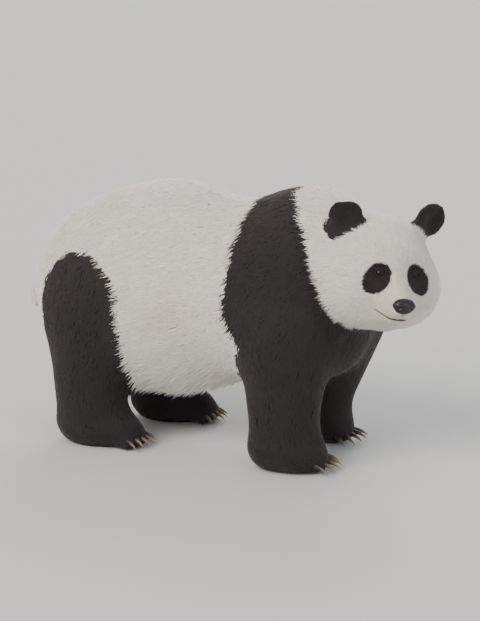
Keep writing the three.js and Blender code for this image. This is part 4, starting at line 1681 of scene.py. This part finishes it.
    def wedges(self, root: Array, bend: Array, tip: Array, normal: Array, width: Array) -> Array:
        """Gives the six points of each lock: two at its root, three at its middle and its tip.

        Args:
            root: Where each lock leaves the skin.
            bend: Its middle.
            tip: Its tip.
            normal: The body's outward way there.
            width: How wide it is, in metres.

        Returns:
            The points, six for each lock.
        """
        run = unit(tip - bend)
        across = unit(np.cross(normal, run))
        roll = self.chance.normal(size=(len(root), 1)) * 0.35
        over = unit(np.cross(run, across))
        left = across * np.cos(roll) + over * np.sin(roll)
        crest = over * np.cos(roll) - across * np.sin(roll)
        half, high = (width / 2)[:, None], (width * self.thick)[:, None]
        ends = [root + left * half * 0.8, root - left * half * 0.8]
        return np.stack([*ends, bend + left * half, bend + crest * high, bend - left * half, tip], 1)


# ---------------------------------------------------------------- eyes, nose and claws


@dataclass
class Eyes:
    """The two eyeballs, each with a cornea that stands a little proud."""

    head: HeadFrame
    cornea: float = 0.06  # of the radius, how far it stands out
    cornea_reach: float = 0.6  # of the radius, how far round it goes

    def build(self, side: str, material: bpy.types.Material) -> bpy.types.Object:
        """Makes one eye in the place of its solid.

        Args:
            side: Which eye.
            material: What it is made of.

        Returns:
            The piece.
        """
        low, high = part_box(f"eye_{side}")
        middle = (low + high) / 2
        radius = min(high - low) / 2
        lids = Eyelids(SIDES[side], radius / MM, self.head.inside(np.array(middle)[None])[0])
        axes = lids.axes() @ self.head.axes
        ball = bmesh.new()
        bmesh.ops.create_uvsphere(ball, u_segments=40, v_segments=24, radius=1)
        bmesh.ops.rotate(ball, verts=ball.verts, matrix=Matrix.Rotation(math.pi / 2, 3, "Y"))
        for vert in ball.verts:
            from_front = math.hypot(vert.co.y, vert.co.z) if vert.co.x > 0 else 1
            rise = max(0.0, 1 - (from_front / self.cornea_reach) ** 2)
            vert.co *= 1 + self.cornea * rise
        mesh = bpy.data.meshes.new(f"eyeball_{side}")
        ball.to_mesh(mesh)
        ball.free()
        seen = points_of(mesh)
        corners = np.zeros(len(mesh.loops), np.int32)
        mesh.loops.foreach_get("vertex_index", corners)
        add_map(mesh, "Gaze", np.where(seen[corners, :1] > 0, seen[corners, 1:], 2.0))
        mesh.transform(Matrix(np.asarray(axes).T * radius).to_4x4())
        mesh.transform(Matrix.Translation(middle))
        mesh.shade_smooth()
        eye = placed(f"eyeball_{side}", mesh, material)
        if SIDES[side] < 0:  # the right eye's axes are a mirror image, which turns the ball inside out
            mesh.flip_normals()
        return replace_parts(eye, f"eye_{side}")


@dataclass
class NosePad:
    """The nose: the solid's own shape made round, with a furrow down its middle and nostrils that curl outwards."""

    head: HeadFrame
    furrow: float = 1.6  # how deep it is
    furrow_width: float = 1.5
    front: tuple[float, float] = (187, 195)  # ahead, where its front face begins
    back: tuple[float, float] = (176, 189)  # where its back edge ends
    nostril: tuple[float, float, float] = (14.5, -46, 5.4)  # y and z of its middle, and how deep it is
    nostril_size: tuple[float, float] = (4.6, 3.0)
    slant: float = 0.35  # how much lower the nostril lies the further out
    slit: float = 2.6  # how deep the slit beside the nostril is
    slit_at: tuple[float, float] = (7, -1.5)  # its middle, out and up from the nostril's
    slit_size: tuple[float, float] = (5, 1.6)
    slit_ahead: tuple[float, float] = (181, 191)  # where it begins
    wing: float = 1.5  # how far the rim over the nostril stands out
    wing_up: float = 6  # how far that rim is over it
    wing_size: tuple[float, float] = (7.5, 3.0)
    furrow_up: tuple[float, float] = (-28, -40)  # where the furrow begins
    rounding: int = 5  # how often it is evened out after each halving of its net
    swell: float = 2.5  # how far it is blown up, for what rounding takes off
    root: float = 4.0  # how far its back edge spreads over the muzzle's skin

    def build(self, material: bpy.types.Material) -> bpy.types.Object:
        """Makes the nose in the place of its solid.

        Args:
            material: What it is made of.

        Returns:
            The piece.
        """
        pad = bmesh.new()
        pad.from_mesh(bpy.data.objects["nose"].data)
        bmesh.ops.remove_doubles(pad, verts=pad.verts, dist=0.01 * MM)
        bmesh.ops.recalc_face_normals(pad, faces=pad.faces)
        for _ in range(2):
            bmesh.ops.subdivide_edges(pad, edges=pad.edges, cuts=1, use_grid_fill=True)
            for _ in range(self.rounding):
                bmesh.ops.smooth_vert(pad, verts=pad.verts, factor=0.5, use_axis_x=True, use_axis_y=True,
                                      use_axis_z=True)
        pad.normal_update()
        places = self.head.inside(np.array([v.co for v in pad.verts]))
        ways = np.array([v.normal for v in pad.verts]) @ self.head.axes.T
        x, y, z = places.T
        front = smoothstep(*self.front, x)
        out, up = np.abs(y) - self.nostril[0], z - self.nostril[1]
        hole = hump((out, self.nostril_size[0]), (up + self.slant * out, self.nostril_size[1]))
        slit = hump((out - self.slit_at[0], self.slit_size[0]), (up - self.slit_at[1], self.slit_size[1]))
        slit = slit * smoothstep(*self.slit_ahead, x)
        rim = hump((out, self.wing_size[0]), (up - self.wing_up, self.wing_size[1])) * front
        middle = hump((y, self.furrow_width)) * front * smoothstep(*self.furrow_up, z)
        push = self.swell + self.root * (1 - smoothstep(*self.back, x)) + self.wing * rim
        push = push - self.nostril[2] * hole * front - self.slit * slit - self.furrow * middle
        for vert, co in zip(pad.verts, self.head.outside(places + ways * push[:, None])):
            vert.co = co
        mesh = bpy.data.meshes.new("nose_pad")
        pad.to_mesh(mesh)
        pad.free()
        mesh.shade_smooth()
        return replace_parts(placed("nose_pad", mesh, material), "nose")


@dataclass
class Claws:
    """The claws of one foot: curved horns, a little deeper than wide, that leave the toes under the hair.

    Sizes are in millimetres.
    """

    foot: str
    side: str
    root: float = 6.4  # half its width at the root
    deeper: float = 1.2  # how much deeper than wide it is
    full: float = 1.7  # the higher, the later a claw narrows
    curl: float = 18  # how far the point lies below the root
    bow: float = 2.4  # the higher, the nearer to the point it curls
    hidden: float = 15  # length that lies inside the toe
    paled: float = 40  # length over which the horn grows paler
    rings: int = 9
    foot_middle: float = 0.48  # of the paw's length from behind, the place that its claws point away from

    def horn(self, tip: Vector, ahead: Vector, long: float) -> bpy.types.Mesh:
        """Makes one claw out of a straight rod.

        Args:
            tip: The claw's point.
            ahead: The level way that it points.
            long: Its whole length, with what the toe hides.

        Returns:
            The claw's mesh, in the row frame.
        """
        horn = bmesh.new()
        bmesh.ops.create_cone(horn, cap_ends=True, segments=12, radius1=1, radius2=1, depth=1)
        lengthways = [e for e in horn.edges if abs(e.verts[0].co.z - e.verts[1].co.z) > 0.5]
        bmesh.ops.subdivide_edges(horn, edges=lengthways, cuts=self.rings - 1)
        aside = Vector((-ahead.y, ahead.x, 0))
        for vert in horn.verts:
            share = vert.co.z + 0.5
            taper = self.root * MM * max(1 - share**self.full, 0.05) ** 0.8
            fall = self.bow * self.curl * MM * share ** (self.bow - 1)
            run = (ahead * long - Vector((0, 0, fall))).normalized()
            over = aside.cross(run) * -1
            middle = tip - ahead * (long * (1 - share)) + Vector((0, 0, self.curl * MM * (1 - share**self.bow)))
            vert.co = middle + aside * (vert.co.x * taper) + over * (vert.co.y * taper * self.deeper)
        horn.normal_update()  # without it the next line goes by the straight rod's faces
        bmesh.ops.recalc_face_normals(horn, faces=horn.faces)
        mesh = bpy.data.meshes.new("horn")
        horn.to_mesh(mesh)
        horn.free()
        return mesh

    def build(self, material: bpy.types.Material) -> bpy.types.Object:
        """Makes the five claws as one piece, in the place of their solids.

        Args:
            material: What they are made of.

        Returns:
            The piece.
        """
        pair = "fore" if self.foot == "forepaw" else "hind"
        names = [f"claw_{pair}_{self.side}_{n}" for n in range(1, 6)]
        low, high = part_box(f"{self.foot}_{self.side}")
        place = low.x * (1 - self.foot_middle) + high.x * self.foot_middle
        middle = Vector((place, (low.y + high.y) / 2, 0))
        claws = bmesh.new()
        for name in names:
            solid = [v.co for v in bpy.data.objects[name].data.vertices]
            tip = max(solid, key=lambda co: (co - middle).to_2d().length).copy()
            reach = [(co - middle).to_2d().length for co in solid]
            ahead = Vector((tip.x - middle.x, tip.y - middle.y, 0)).normalized()
            claws.from_mesh(self.horn(tip, ahead, max(reach) - min(reach) + self.hidden * MM))
        mesh = bpy.data.meshes.new(f"claws_{self.foot}_{self.side}")
        claws.to_mesh(mesh)
        claws.free()
        mesh.shade_smooth()
        from_middle = np.linalg.norm((points_of(mesh) - np.array(middle))[:, :2], axis=1)
        furthest = from_middle.max()
        add_values(mesh, "along", smoothstep(furthest - self.paled * MM, furthest, from_middle))
        piece = placed(f"claws_{self.foot}_{self.side}", mesh, material)
        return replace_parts(piece, *names)


# ---------------------------------------------------------------- the studio


@dataclass(frozen=True)
class Lamp:
    """A broad soft lamp, far off: where it hangs, how wide it looks in degrees, its light in W/m2 and its colour."""

    name: str
    place: tuple[float, float, float]
    width: float
    light: float
    colour: str = "#ffffff"


@dataclass
class Studio:
    """A pale floor, soft light from above and the sides, and the camera."""

    aim: tuple[float, float, float] = (0.0245, 0.0488, 0.392)
    azimuth: float = 25
    elevation: float = 13
    distance: float = 4.936
    lens: float = 97
    lamps: tuple[Lamp, ...] = (
        Lamp("key", (-1.6, -4.2, 4.2), 32, 2.5, "#fff6ea"),
        Lamp("fill", (4.6, -2.2, 2.6), 40, 0.65, "#eef3ff"),
        Lamp("rim", (-1.0, 4.4, 3.6), 30, 1.25, "#ffffff"),
    )
    wall: str = "#f0edea"  # the air's colour low down, as off pale walls
    ceiling: str = "#d1d1d2"
    glow: float = 1.1

    def build(self) -> None:
        """Lays the floor and sets up the light and the camera."""
        floor = bmesh.new()
        bmesh.ops.create_circle(floor, cap_ends=True, segments=96, radius=90)
        mesh = bpy.data.meshes.new("floor")
        floor.to_mesh(mesh)
        floor.free()
        mesh.materials.append(StudioPaper().make())
        paper = bpy.data.objects.new("floor", mesh)
        bpy.context.scene.collection.objects.link(paper)
        world = bpy.data.worlds.new("studio")
        world.use_nodes = True
        self.light_air(world.node_tree)
        bpy.context.scene.world = world
        for lamp in self.lamps:
            self.hang(lamp)
        self.aim_camera()

    def light_air(self, tree: bpy.types.NodeTree) -> None:
        """Sets the light from all round, brighter low down, so that the floor runs into it without an edge.

        Args:
            tree: The world's node tree.
        """
        way = node(tree, "TexCoord").outputs["Generated"]
        height = node(tree, "SeparateXYZ", Vector=way).outputs["Z"]
        up = node(tree, "MapRange", SOFTLY, Value=height, From_Min=0.02, From_Max=0.4)
        colour = node(tree, "Mix", BLEND, s0=up.outputs[0], s6=linear(self.wall), s7=linear(self.ceiling))
        air = tree.nodes["Background"]
        air.inputs["Strength"].default_value = self.glow
        tree.links.new(colour.outputs[2], air.inputs["Color"])

    def hang(self, lamp: Lamp) -> None:
        """Hangs a lamp that shines at the animal.

        Args:
            lamp: Which lamp.
        """
        data = bpy.data.lights.new(lamp.name, "SUN")
        data.angle, data.energy = math.radians(lamp.width), lamp.light
        data.color = linear(lamp.colour)[:3]
        light = bpy.data.objects.new(lamp.name, data)
        light.location = lamp.place
        way = Vector(self.aim) - Vector(lamp.place)
        light.rotation_mode = "QUATERNION"
        light.rotation_quaternion = way.to_track_quat("-Z", "Y")
        bpy.context.scene.collection.objects.link(light)

    def aim_camera(self) -> None:
        """Sets the camera up at its angle and distance from the point that it looks at."""
        turn, rise = math.radians(self.azimuth), math.radians(self.elevation)
        back = Vector((math.sin(turn) * math.cos(rise), -math.cos(turn) * math.cos(rise), math.sin(rise)))
        data = bpy.data.cameras.new("camera")
        data.lens, data.sensor_width, data.sensor_fit = self.lens, 36, "AUTO"
        data.clip_start, data.clip_end = 0.05, 300
        camera = bpy.data.objects.new("camera", data)
        camera.rotation_mode = "QUATERNION"
        camera.location = Vector(self.aim) + back * self.distance
        camera.rotation_quaternion = (-back).to_track_quat("-Z", "Y")
        bpy.context.scene.collection.objects.link(camera)
        bpy.context.scene.camera = camera


def main() -> None:
    """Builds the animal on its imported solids."""
    logging.basicConfig(level=logging.INFO, format="%(name)s: %(message)s", stream=sys.stdout)
    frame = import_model()
    Studio().build()
    head = HeadFrame()
    body = Body(head, frame)
    pelt = body.build()
    body.place(pelt, Hide().make())
    wet = EyeBall().make()
    for side in SIDES:
        Eyes(head).build(side, wet)
    NosePad(head).build(NoseLeather().make())
    horn = ClawHorn().make()
    for foot in ("forepaw", "hindpaw"):
        for side in SIDES:
            Claws(foot, side).build(horn)
    hair = GuardHair().make()
    coat = Coat(pelt, head)
    for piece in COAT_PIECES:
        coat.grow(piece, hair)


if __name__ == "__main__":
    main()
